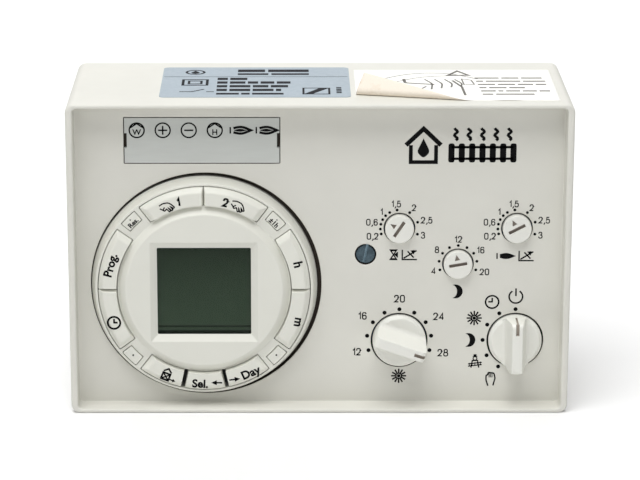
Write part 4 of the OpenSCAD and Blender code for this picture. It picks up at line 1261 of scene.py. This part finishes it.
class BuildLabels(bpy.types.Operator):
    """The rating label and the paper notice on top of the case"""
    bl_idname = "controller.build_labels"
    bl_label = "Labels"

    def execute(self, context):
        size = context.scene.controller_sizes
        self.rating_label(size)
        self.notice(size)
        return {"FINISHED"}

    def rating_label(self, size):
        low, high = span("rating_label")
        centre = ((low.x + high.x) / 2, (low.y + high.y) / 2)
        across = (high.x - low.x, high.y - low.y)
        shell = Shell(lambda x, y, height: Vector((x, y, low.z + height)) * MM)
        thick = high.z - low.z
        profile = path([(0, 0), (0, thick), (0.5, thick)], [0, 0.06, 0])
        first, last = shell.stack([(rectangle(centre, [s - 2 * t for s in across], 1.5 - t, 5), h)
                                   for t, h in profile])
        shell.lid(first)
        shell.lid(last)
        label = shell.piece("rating_foil", "housing", [finish("rating foil")])
        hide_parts("rating_label")

        ink = Ink()
        back, left = high.y, low.x
        ink.set_at(left, back)
        ink.bar(across[0] / 2, -12.4, across[0] - 1, 0.22)
        # Heading, and in place of marks and a name only a drop in a ring and plain bars.
        ink.arc((9.5, -6.6), 2.6, 0.7)
        ink.fill(path([(9.5, -4.6), (11, -7.4), (9.5, -8.7), (8, -7.4)], [0, 0.8, 0.8, 0.8], 4))
        draw_words(ink, 22, -4.6, [8, 12], 3.2)
        draw_words(ink, 22, -9.0, [9, 11], 2.0)
        for k, words in enumerate(([3, 5], [3, 4.5, 3, 4, 4], [3, 6, 4.5, 5], [3, 6, 6, 1.5], [6.5, 2.4, 9])):
            draw_words(ink, 16.2, -15.2 - 4.7 * k, words, 2.8 if k < 4 else 2.0, 0.7)
        ink.stroke([(6.3, -16.3), (13.3, -16.3), (13.3, -23.3), (6.3, -23.3), (6.3, -16.3)], 0.8)
        ink.stroke([(8.0, -18.0), (11.6, -18.0), (11.6, -21.6), (8.0, -21.6), (8.0, -18.0)], 0.7)
        ink.stroke([(5.6, -31.5), (9.0, -31.5), (12.6, -28.4)], 0.6)
        ink.bar(14.4, -31.5, 2.2, 0.6)
        ink.stroke([(41.2, -27.0), (48.6, -27.0), (48.6, -34.4), (41.2, -34.4), (41.2, -27.0)], 0.6)
        ink.fill([(41.6, -34.0), (44.0, -34.0), (48.2, -27.4), (45.6, -27.4)])
        for k in range(4):
            ink.bar(51.4, -26.6 - 2.0 * k, 1.5, 1.3)
        marks = ink.piece("rating_marks", "housing", finish("label ink"), top_surface("rating_label"),
                          size.print_skin)

    def notice(self, size):
        low, high = span("notice_label")
        wide, deep = high.x - low.x, high.y - low.y
        # The corner at the front left is folded up along a line between these two edge points.
        fold_start = Vector((low.x, low.y + 8.0))
        fold_end = Vector((low.x + 34, low.y))
        along = (fold_end - fold_start).normalized()
        inward = Vector((-along.y, along.x))
        if inward.y < 0:
            inward = -inward
        radius, angle = size.peel_radius, size.peel_angle

        def place(x, y):
            point = Vector((x, y))
            reach = (point - fold_start).dot(inward)
            ripple = 0.12 * math.sin(0.33 * (x - low.x)) * math.exp(-(y - low.y) / 3.0)
            lift = max(0.0, ripple) * min(1.0, max(0.0, (x - low.x) / 12.0))
            if reach >= 0:
                return Vector((x, y, low.z + 0.08 + lift)) * MM
            rolled = min(-reach / radius, angle)
            rest = max(-reach - radius * angle, 0.0)
            back = radius * math.sin(rolled) + rest * math.cos(angle)
            up = radius * (1 - math.cos(rolled)) + rest * math.sin(angle)
            foot = point - inward * reach
            moved = foot - inward * back
            return Vector((moved.x, moved.y, low.z + 0.08 + up)) * MM

        mesh = bmesh.new()
        columns, rows = 116, 80
        grid = [[mesh.verts.new(place(low.x + wide * i / columns, low.y + deep * j / rows))
                 for i in range(columns + 1)] for j in range(rows + 1)]
        for j in range(rows):
            for i in range(columns):
                mesh.faces.new((grid[j][i], grid[j][i + 1], grid[j + 1][i + 1], grid[j + 1][i]))
        data = bpy.data.meshes.new("notice_sheet")
        mesh.to_mesh(data)
        mesh.free()
        data.polygons.foreach_set("use_smooth", [True] * len(data.polygons))
        for name in ("notice paper", "notice back"):
            data.materials.append(finish(name))
        sheet = bpy.data.objects.new("notice_sheet", data)
        bpy.context.scene.collection.objects.link(sheet)
        body = sheet.modifiers.new("paper thickness", "SOLIDIFY")
        body.thickness, body.offset, body.material_offset = 0.07 * MM, -1, 1
        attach(sheet, "housing")
        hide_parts("notice_label")

        ink = Ink()
        # A hand sketch on the left and plain bars for the lines of text on the right.
        ink.set_at(low.x, low.y)
        ink.stroke(path([(8, 27), (16, 34), (27, 35.5), (36, 27)], [0, 5, 6, 0], 5), 0.35)
        ink.stroke(path([(12, 23.5), (20, 30), (30, 31.5)], [0, 4, 0], 4), 0.3)
        ink.stroke(path([(14.4, 27), (14.6, 22), (23, 20)], [0, 1, 0], 3), 0.9)
        ink.stroke(path([(20.5, 17.5), (18.5, 13.5), (20.5, 11)], [0, 1.5, 0], 3), 0.5)
        for k in range(4):
            x = 20.5 + 2.9 * k
            ink.stroke(path([(x, 26.5), (x + 2.0, 21), (x + 1.4, 14 + 1.2 * k)], [0, 2, 0], 4), 0.5)
        ink.stroke([(31.3, 27), (34.0, 25.5), (34.6, 20), (31.6, 19.5), (31.3, 27)], 0.4)
        ink.stroke([(28.5, 25), (30.8, 17), (31.2, 6.5)], 0.7)
        ink.stroke([(27.6, 31.8), (33.6, 31.8), (30.6, 37.4), (27.6, 31.8)], 0.9)
        lines = [[7, 5, 6], [2, 10, 6.5], [5, 5, 4.4, 3], [2, 5, 4.5], [4.2, 1.4, 4, 4, 3], [3, 11]]
        for k, words in enumerate(lines):
            draw_words(ink, 35.2 + 0.2 * k, 28.2 - 4.1 * k, words, 1.2, 0.8)
        marks = ink.piece("notice_marks", "housing", finish("pencil ink"),
                          lambda x, y, height: Vector((x, y, low.z + 0.09 + height)) * MM,
                          size.print_skin)


class BuildPanelPrint(bpy.types.Operator):
    """Scales, numbers and symbols printed on the panel and the lamp window"""
    bl_idname = "controller.build_panel_print"
    bl_label = "Panel print"

    def execute(self, context):
        size = context.scene.controller_sizes
        ink = Ink()
        self.lamp_signs(ink)
        self.scales(ink)
        self.signs(ink)
        draw_heading(ink, 24.4, 72.9, 31.7)
        marks = ink.piece("panel_print", "housing", finish("ink"), front, size.print_skin)
        return {"FINISHED"}

    def lamp_signs(self, ink):
        places = [LAMPS[0] + (k - 2.5) * 7.41 for k in range(6)]
        height = LAMPS[1] + 3.0
        draw_pump(ink, places[0], height, "W")
        draw_sign(ink, places[1], height, True)
        draw_sign(ink, places[2], height, False)
        draw_pump(ink, places[3], height, "H")
        for x in places[4:]:
            draw_flame(ink, x, height, False)

    def scales(self, ink):
        step = 27.33
        knob_scale = [step * (k - 4) for k in range(9)]
        for dial, radius, angles, dot in (
                ("temperature_knob", 9.4, knob_scale, 0.6), ("night_trimmer", 5.5, knob_scale, 0.42),
                ("mode_knob", 9.4, [-30 * k for k in range(6)], 0.6)):
            self.dots(ink, axis_of(dial), radius, angles, dot)
        trimmer_scale = [-108, -92.6, -77.4, -62.2, -47, -31.3, -7.6, 31.8, 71, 109]
        for dial in ("valve_trimmer", "burner_trimmer"):
            self.dots(ink, axis_of(dial), 5.49, trimmer_scale, 0.42)
            numbers = (("0,2", -7.7, -2.4), ("0,6", -7.9, 1.8), ("1", -5.2, 4.9), ("1,5", -1.0, 7.25),
                       ("2", 4.1, 6.1), ("2,5", 7.8, 2.4), ("3", 6.8, -2.1))
            self.numbers(ink, axis_of(dial), numbers, 1.75)
        self.numbers(ink, axis_of("night_trimmer"),
                     (("12", 0, 7.35), ("8", -6.1, 4.25), ("4", -7.0, -2.15), ("16", 6.5, 4.15),
                      ("20", 7.7, -2.45)), 1.75)
        self.numbers(ink, axis_of("temperature_knob"),
                     (("20", 0, 12.6), ("16", -10.7, 7.4), ("12", -12.3, -3.6), ("24", 11.4, 7.2),
                      ("28", 12.8, -3.9)), 2.0)

    def dots(self, ink, centre, radius, angles, dot):
        ink.set_at(*centre)
        for angle in angles:
            a = math.radians(angle)
            ink.dot(radius * math.sin(a), radius * math.cos(a), dot)

    def numbers(self, ink, centre, numbers, height):
        ink.set_at(*centre)
        for words, x, z in numbers:
            ink.number(words, x, z, height)

    def signs(self, ink):
        x, z = axis_of("valve_trimmer")
        draw_valve(ink, x - 1.6, z - 7.95)
        draw_curve_sign(ink, x + 2.9, z - 8.0)
        x, z = axis_of("burner_trimmer")
        draw_flame(ink, x - 2.8, z - 8.35, True, 0.92)
        draw_curve_sign(ink, x + 2.8, z - 8.35)
        x, z = axis_of("night_trimmer")
        draw_moon(ink, x, z - 8.35)
        x, z = axis_of("temperature_knob")
        draw_sun(ink, x, z - 11.0)
        x, z = axis_of("mode_knob")
        draw_power(ink, x, z + 13.2)
        draw_clock(ink, x - 6.85, z + 11.6)
        draw_sun(ink, x - 11.95, z + 6.7)
        draw_moon(ink, x - 13.0, z)
        draw_sweep(ink, x - 11.5, z - 6.6)
        draw_hand(ink, x - 6.85, z - 12.0)


class BuildBezel(bpy.types.Operator):
    """The clock's bezel with its key openings and display frame"""
    bl_idname = "controller.build_bezel"
    bl_label = "Clock bezel"

    def execute(self, context):
        shell = Shell()
        ring_t = 1.6
        base_r = KEY_R0 - KEY_CLEAR - 0.35
        disc_r = base_r - 2

        def rounds(profile):
            return [(circle(CLOCK, r, 192), h) for r, h in profile]

        skirt = path([(CLOCK_R - 1.75, RING_H), (CLOCK_R - 1.2, RING_H), (CLOCK_R - 0.25, 0.2),
                      (CLOCK_R, -0.4), (CLOCK_R, -4.2), (CLOCK_R - 1, -4.2), (CLOCK_R - 1, 0),
                      (CLOCK_R - 1.6, RING_H - ring_t)],
                     [0, 0.5, 0.5, 0.1, 0.1, 0.1, 0, 0], 5)
        web_out, web_out_rear = shell.stack(rounds(skirt))
        cone = path([(base_r + 0.15, RING_H), (base_r, RING_H), (disc_r, DISC_H), (disc_r - 0.35, DISC_H)],
                    [0, 0.12, 0.32, 0], 5)
        web_in, disc_edge = shell.stack(rounds(cone))
        web_in_rear, disc_rear = shell.stack(rounds([(base_r - 0.4, RING_H - ring_t),
                                                     (disc_r - 0.6, DISC_H - ring_t)]))
        tops, rears = [web_out, web_in], [web_out_rear, web_in_rear]
        opening = path([(0.1, RING_H), (0, RING_H), (0, RING_H - ring_t)], [0, 0.08, 0])
        clear = -KEY_CLEAR
        plans = [(KEY_R0 - KEY_CLEAR, ends, 30) for ends in KEY_OPENINGS]
        plans += [(SMALL_R0 - KEY_CLEAR, ends, 8) for ends in SMALL_KEYS.values()]
        for r0, ends, steps in plans:
            loops = [(sector(r0 - t, KEY_R1 + KEY_CLEAR + min(t, 0.12), ends,
                             (clear - t, clear - t), 0.35, steps), h)
                     for t, h in opening]
            first, last = shell.stack(loops)
            tops.append(first)
            rears.append(last)
        shell.plate(tops)
        shell.plate(rears)
        frame_size = [side + 2 * DISPLAY_FRAME for side in DISPLAY_OPENING]
        slope = path([(-0.15, DISC_H), (0, DISC_H), (DISPLAY_FRAME, DISPLAY_H + 0.25),
                      (DISPLAY_FRAME, DISPLAY_H)], [0, 0.12, 0, 0])
        first, last = shell.stack([(rectangle(DISPLAY, [side - 2 * t for side in frame_size], 0.35, 3), h)
                                   for t, h in slope])
        shell.plate([disc_edge, first])
        shell.plate([disc_rear, last])
        bezel = shell.piece("clock_face", "housing", [finish("clock plastic")])
        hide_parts("clock_bezel")
        return {"FINISHED"}


def key_steps(profile, r0, ends, gaps, slopes, corner, steps):
    """Loops of a key cap. Each slope says how much of the outer slope its side has."""
    start_slope, end_slope, inner_slope = slopes
    return [(sector(r0 + inner_slope * t, KEY_R1 - t, ends,
                    (gaps[0] + start_slope * t, gaps[1] + end_slope * t), corner, steps), h)
            for t, h in profile]


class BuildKeys(bpy.types.Operator):
    """The clock's keys with their legends"""
    bl_idname = "controller.build_keys"
    bl_label = "Keys"

    def execute(self, context):
        size = context.scene.controller_sizes
        for name, (start, end, gap0, gap1) in LARGE_KEYS.items():
            # An end that meets a neighbour's stays upright, and a free end slopes.
            slopes = (*(1.1 if not gap else 0.3 if gap == SEAM else 0.08 for gap in (gap0, gap1)), 0.08)
            profile = path([(0, 2.0), (0, size.key_flank), (size.key_slope, KEY_H),
                            (size.key_slope + 0.8, KEY_H)], [0, 0.3, 0.45, 0], 4)[:-1]
            self.key(name, profile, KEY_R0, (start, end), (gap0, gap1), slopes, 24)
        for name, ends in SMALL_KEYS.items():
            profile = path([(0, 2.0), (0, SMALL_KEY_H), (0.6, SMALL_KEY_H)], [0, 0.25, 0], 4)[:-1]
            self.key(name, profile, SMALL_R0, ends, (0, 0), (1, 1, 1), 8)
        self.legends(size)
        return {"FINISHED"}

    def key(self, name, profile, r0, ends, gaps, slopes, steps):
        shell = Shell()
        foot, lip, stem_r, stem_end = 1.2, 0.8, 1.2, -1.6
        low = [(sector(r0 - lip, KEY_R1, ends, gaps, 0.35, steps), foot),
               (sector(r0 - lip, KEY_R1, ends, gaps, 0.35, steps), 2.0)]
        first, last = shell.stack(low + key_steps(profile, r0, ends, gaps, slopes, 0.35, steps))
        shell.lid(last)
        centre = round_clock((r0 + KEY_R1) / 2, math.radians(sum(ends) / 2))
        stem = path([(stem_r, foot), (stem_r, stem_end), (0.5, stem_end)], [0, 0.3, 0])
        top, tip = shell.stack([(circle(centre, r, 24), h) for r, h in stem])
        shell.lid(tip)
        shell.plate([first, top])
        # The lip and the key above it share their outer arc.
        bmesh.ops.remove_doubles(shell.mesh, verts=shell.mesh.verts[:], dist=1e-7)
        key = shell.piece("cap_" + name, "key_" + name, [finish("key plastic")])
        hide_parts("key_" + name)

    def legends(self, size):
        def place(angle, radius):
            return tuple(round_clock(radius, math.radians(angle)))

        drawings = {name: Ink() for name in list(LARGE_KEYS) + list(SMALL_KEYS)}
        bold = 0.118
        ink = drawings["manual_1"]
        draw_flat_hand(ink, *place(-22.6, 27.0), -14, 1.0)
        ink.set_at(*place(-15.2, 27.3), -8)
        ink.number("1", 0, 0, 2.2, 0.27)
        ink = drawings["manual_2"]
        ink.set_at(*place(13.6, 27.0), 12)
        ink.number("2", 0, 0, 2.2, 0.25)
        draw_flat_hand(ink, *place(21.5, 27.0), 24, 1.0)
        self.words(drawings["program"], "Prog.", place(-74.1, 27.5), 3.4, -74, bold)
        draw_clock(drawings["clock"], *place(-110.4, 27.8), 1, 0.95, 0.6)
        self.words(drawings["hour"], "h", place(73.9, 28.2), 3.7, 78, bold)
        self.words(drawings["minute"], "m", place(109.5, 28.5), 3.6, 100, bold)
        draw_holiday(drawings["holiday"], *place(-156.5, 27.9), 22)
        self.words(drawings["select"], "Sel.", place(-177.2, 28.3), 3.4, 3, bold)
        draw_arrow(drawings["select"], *place(172.9, 28.2), 180, 3.1)
        draw_arrow(drawings["day"], *place(162.3, 28.3), -8, 3.1)
        self.words(drawings["day"], "Day", place(151.7, 28.6), 3.5, -24, bold)
        for name, words, angle in (("reset", "Res.", -45.3), ("summer_time", "±1h", 45.3)):
            self.words(drawings[name], words, place(angle, 28.3), 2.0, angle, 0.06)
            drawings[name].set_at(*place(angle, 29.5))
            drawings[name].dot(0, 0, 0.2)
        for name, angle in (("lower_left", -133.9), ("lower_right", 133.9)):
            drawings[name].set_at(*place(angle, 28.8))
            drawings[name].dot(0, 0, 0.27)
        for name, ink in drawings.items():
            height = KEY_H if name in LARGE_KEYS else SMALL_KEY_H
            legend = ink.piece("legend_" + name, "key_" + name, finish("ink"),
                               lambda x, z, up, base=height: front(x, z, base + up), size.print_skin)

    def words(self, ink, words, at, height, turn, bold):
        ink.set_at(0, 0)
        ink.text(words, *at, height, turn, bold)


class BuildKnobs(bpy.types.Operator):
    """The temperature and mode knobs"""
    bl_idname = "controller.build_knobs"
    bl_label = "Knobs"

    def execute(self, context):
        size = context.scene.controller_sizes
        for dial in ("temperature_knob", "mode_knob"):
            place = dial_place(dial)
            # The cuts' faces take the second finish: painted shade that darkens the slots.
            cuts = [block(place, (-0.48, 4.3, KNOB_H - 0.8), (0.48, KNOB_R + 1, KNOB_H + 1)),
                    block(place, (-0.3, KNOB_R - 0.55, 3.2), (0.3, KNOB_R + 1, KNOB_H + 1))]
            tools = [(self.wing(place, size), "UNION")] + [(cut, "DIFFERENCE") for cut in cuts]
            plastics = [finish("knob plastic"), finish("knob painted slot shade")]
            knob = show(dial + "_cap", combined(self.disc(place), tools, plastics), dial, plastics)
            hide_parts(dial)
        return {"FINISHED"}

    def disc(self, place):
        """The round base with its hollow front, its skirt and the bore for the spindle."""
        shell = Shell(place)
        flat_r, front_h, hub_r = KNOB_R - 0.95, 1.6, 4.4
        profile = path([(0.4, front_h - 0.25), (flat_r - 2.2, front_h - 0.2), (flat_r, front_h),
                        (KNOB_R, front_h - 0.75), (KNOB_R, -1), (hub_r, -1), (hub_r, -3.4), (2.0, -3.4)],
                       [0, 1.5, 0.12, 0.15, 0.1, 0, 0, 0], 4)
        steps = [(circle((0, 0), r, 96), h) for r, h in profile]
        flatted = [(x, min(z, 1.2)) for x, z in circle((0, 0), 2.0, 96)]
        steps[-1] = (flatted, -3.4)
        first, last = shell.stack(steps + [(flatted, 0.9)])
        shell.lid(first)
        shell.lid(last)
        return shell.data("disc")

    def wing(self, place, size):
        """The grip: its flanks lean in and flare out at the foot, and its ends follow the rim."""
        shell = Shell(place)
        profile = path([(size.wing_root / 2 + 0.9, 0.2), (size.wing_root / 2 + 0.9, 1.45),
                        (size.wing_root / 2 - 0.1, 1.6), (size.wing_front / 2, KNOB_H),
                        (size.wing_front / 2 - 0.5, KNOB_H)], [0, 0.05, 1.0, 0.3, 0], 5)[:-1]
        spread = []
        for (half, height), (_, following) in zip(profile, profile[1:] + [profile[-1]]):
            spread.append((half, height))
            if following - height < 2:
                continue
            for k in range(9):
                level = KNOB_H - size.wing_end * (1 - math.sin(math.pi / 2 * k / 8))
                if level < following - 0.05:
                    share = (level - height) / (KNOB_H - height)
                    spread.append((mix(half, size.wing_front / 2, share), level))
        steps = []
        for half, height in spread:
            sunk = max(0.0, size.wing_end - (KNOB_H - height))
            drop = size.wing_end - math.sqrt(max(size.wing_end ** 2 - sunk ** 2, 0.0))
            steps.append((self.wing_outline(half, KNOB_R - 0.01 - drop), height))
        first, last = shell.stack(steps)
        shell.lid(first)
        shell.lid(last)
        return shell.data("wing")

    def wing_outline(self, half, radius, count=10):
        reach = math.asin(min(half / radius, 0.99))
        angles = [mix(-reach, reach, k / count) for k in range(count + 1)]
        return [(radius * math.sin(a + side), radius * math.cos(a + side))
                for side in (0, math.pi) for a in angles]


class BuildTrimmers(bpy.types.Operator):
    """The three trimmer caps with their slots and arrows"""
    bl_idname = "controller.build_trimmers"
    bl_label = "Trimmers"

    def execute(self, context):
        for dial in ("valve_trimmer", "burner_trimmer", "night_trimmer"):
            shell = Shell(dial_place(dial))
            edge = path([(TRIMMER_R - 0.6, TRIMMER_H), (TRIMMER_R, TRIMMER_H), (TRIMMER_R, -2.8), (1.5, -2.8),
                         (1.5, -1)], [0, 0.45, 0.2, 0, 0], 5)
            top, bore = shell.stack([(circle((0, 0), r, 72), h) for r, h in edge])
            shell.lid(bore)
            loops = [top]
            for outline, depth in ((self.slot, 0.8), (self.arrow, 0.5)):
                steps = [(outline(0.08), TRIMMER_H), (outline(0), TRIMMER_H - 0.08),
                         (outline(0), TRIMMER_H - depth)]
                wall = [shell.loop(*step) for step in steps]
                shell.band(wall[0], wall[1])
                # The recesses' walls and floors take the second finish: partly dirt, partly painted shade.
                shell.band(wall[1], wall[2], 1)
                shell.lid(wall[2], 1)
                loops.append(wall[0])
            shell.plate(loops)
            cap = shell.piece(dial + "_cap", dial, [finish("trimmer plastic"), finish("trimmer dirt and painted shade")])
            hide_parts(dial)
        return {"FINISHED"}

    def slot(self, grow):
        return rectangle((0, 0.15), (5.2 + 2 * grow, 0.92 + 2 * grow), 0.1 + grow, 2)

    def arrow(self, grow):
        return [(0, 3.15 + 2.4 * grow), (0.76 + 1.6 * grow, 1.5 - grow), (-0.76 - 1.6 * grow, 1.5 - grow)]


class DressInside(bpy.types.Operator):
    """Finishes for the pieces that the frame already shapes"""
    bl_idname = "controller.dress_inside"
    bl_label = "Frame finishes"

    def execute(self, context):
        for name, nodes in DRESSED.items():
            for node in nodes:
                data = frame["nodes"][node].data
                data.materials.clear()
                data.materials.append(finish(name))
        return {"FINISHED"}


# Lights in metres: where each stands, where it looks, and how wide it is.
LIGHTS = {
    "overhead": ((-0.15, -0.375, 1.1), (0, 0, CASE_H / 2 * MM), 0.9),
    "front": ((0.12, -1.15, 0.42), (0, 0, 0), 0.5),
    "backdrop": ((0, 0.9, 1.6), (0, 2.4, 0.5), 1.5),
}
CAMERA_TARGET = (-7.93, CASE_LOW.y, 52.39)
SENSOR_WIDTH = 36
NEAREST_SEEN = 0.05


def area_light(name, place, target, across, power):
    """A soft square light that looks at a target, in metres."""
    data = bpy.data.lights.new(name, "AREA")
    data.size, data.energy = across, power
    lamp = bpy.data.objects.new(name, data)
    lamp.location = place
    lamp.rotation_euler = (Vector(target) - Vector(place)).to_track_quat("-Z", "Y").to_euler()
    lamp.visible_camera = False
    bpy.context.scene.collection.objects.link(lamp)


class BuildStage(bpy.types.Operator):
    """The floor, the light and the camera"""
    bl_idname = "controller.build_stage"
    bl_label = "Stage"
    bl_options = {"REGISTER", "UNDO"}

    def execute(self, context):
        context.scene.view_settings.view_transform = "Standard"
        stage = context.scene.controller_stage
        self.floor(stage)
        self.light(stage)
        self.camera(stage)
        return {"FINISHED"}

    def floor(self, stage):
        """One sheet that lies under the object and bends up far behind it."""
        wide, near, bend_start, bend_r, tall = 4.0, -3.0, 1.6, 0.8, 3.0
        profile = [(near, 0), (bend_start, 0)]
        profile += [(bend_start + bend_r * math.sin(a), bend_r * (1 - math.cos(a)))
                    for a in [math.pi / 2 * k / 12 for k in range(1, 13)]]
        profile.append((bend_start + bend_r, tall))
        mesh = bmesh.new()
        rows = [[mesh.verts.new((x, y, z)) for x in (-wide, wide)] for y, z in profile]
        for low, high in zip(rows, rows[1:]):
            mesh.faces.new((low[0], low[1], high[1], high[0])).smooth = True
        data = bpy.data.meshes.new("floor")
        mesh.to_mesh(data)
        mesh.free()
        made = Recipe("pale floor", 0.3, specular=0.3)
        made.colour(made.ramp(made.noise(300, 2), tinted(stage.floor, 0.995), tuple(stage.floor)))
        made.roughness(made.span(made.noise(90, 3), 0.28, 0.36))
        data.materials.append(made.material)
        sheet = bpy.data.objects.new("floor", data)
        bpy.context.scene.collection.objects.link(sheet)

    def light(self, stage):
        world = bpy.data.worlds.new("studio")
        bpy.context.scene.world = world
        world.use_nodes = True
        sky = world.node_tree.nodes["Background"]
        sky.inputs["Color"].default_value = (1, 1, 1, 1)
        sky.inputs["Strength"].default_value = stage.sky
        powers = {"overhead": stage.top_light, "front": stage.front_light, "backdrop": stage.back_light}
        for name, (place, target, across) in LIGHTS.items():
            area_light(name, place, target, across, powers[name])

    def camera(self, stage):
        data = bpy.data.cameras.new("camera")
        data.lens, data.sensor_width, data.shift_x = stage.lens, SENSOR_WIDTH, stage.shift
        data.clip_start = NEAREST_SEEN
        camera = bpy.data.objects.new("camera", data)
        bpy.context.scene.collection.objects.link(camera)
        el, az = stage.elevation, stage.azimuth
        away = Vector((math.sin(az) * math.cos(el), -math.cos(az) * math.cos(el), math.sin(el)))
        target = Vector(CAMERA_TARGET) * MM
        camera.location = target + away * stage.distance
        camera.rotation_euler = (-away).to_track_quat("-Z", "Y").to_euler()
        bpy.context.scene.camera = camera


# --- Add-on --------------------------------------------------------------------------------

STEPS = (BuildCase, BuildCover, BuildScrews, BuildLabels, BuildBezel, BuildKeys, BuildKnobs,
         BuildTrimmers, BuildPanelPrint, DressInside, BuildStage)


class ControllerPanel(bpy.types.Panel):
    """Settings and build steps of the heating controller"""
    bl_idname = "VIEW3D_PT_controller"
    bl_label = "Heating controller"
    bl_space_type = "VIEW_3D"
    bl_region_type = "UI"
    bl_category = "Controller"

    def draw(self, context):
        scene = context.scene
        for group in (scene.controller_sizes, scene.controller_colours, scene.controller_stage):
            box = self.layout.box()
            for name in group.__annotations__:
                box.prop(group, name)
        for step in STEPS:
            self.layout.operator(step.bl_idname)


GROUPS = {"controller_sizes": ControllerSizes, "controller_colours": ControllerColours,
          "controller_stage": ControllerStage}
CLASSES = (*GROUPS.values(), *STEPS, ControllerPanel)


def register():
    for item in CLASSES:
        bpy.utils.register_class(item)
    for name, group in GROUPS.items():
        setattr(bpy.types.Scene, name, bpy.props.PointerProperty(type=group))


def unregister():
    for name in GROUPS:
        delattr(bpy.types.Scene, name)
    for item in reversed(CLASSES):
        bpy.utils.unregister_class(item)


def run_step(step):
    """Calls a step as a user's click would, by its name."""
    group, name = step.bl_idname.split(".")
    getattr(getattr(bpy.ops, group), name)()


def main():
    register()
    for step in STEPS:
        run_step(step)


if __name__ == "__main__":
    main()
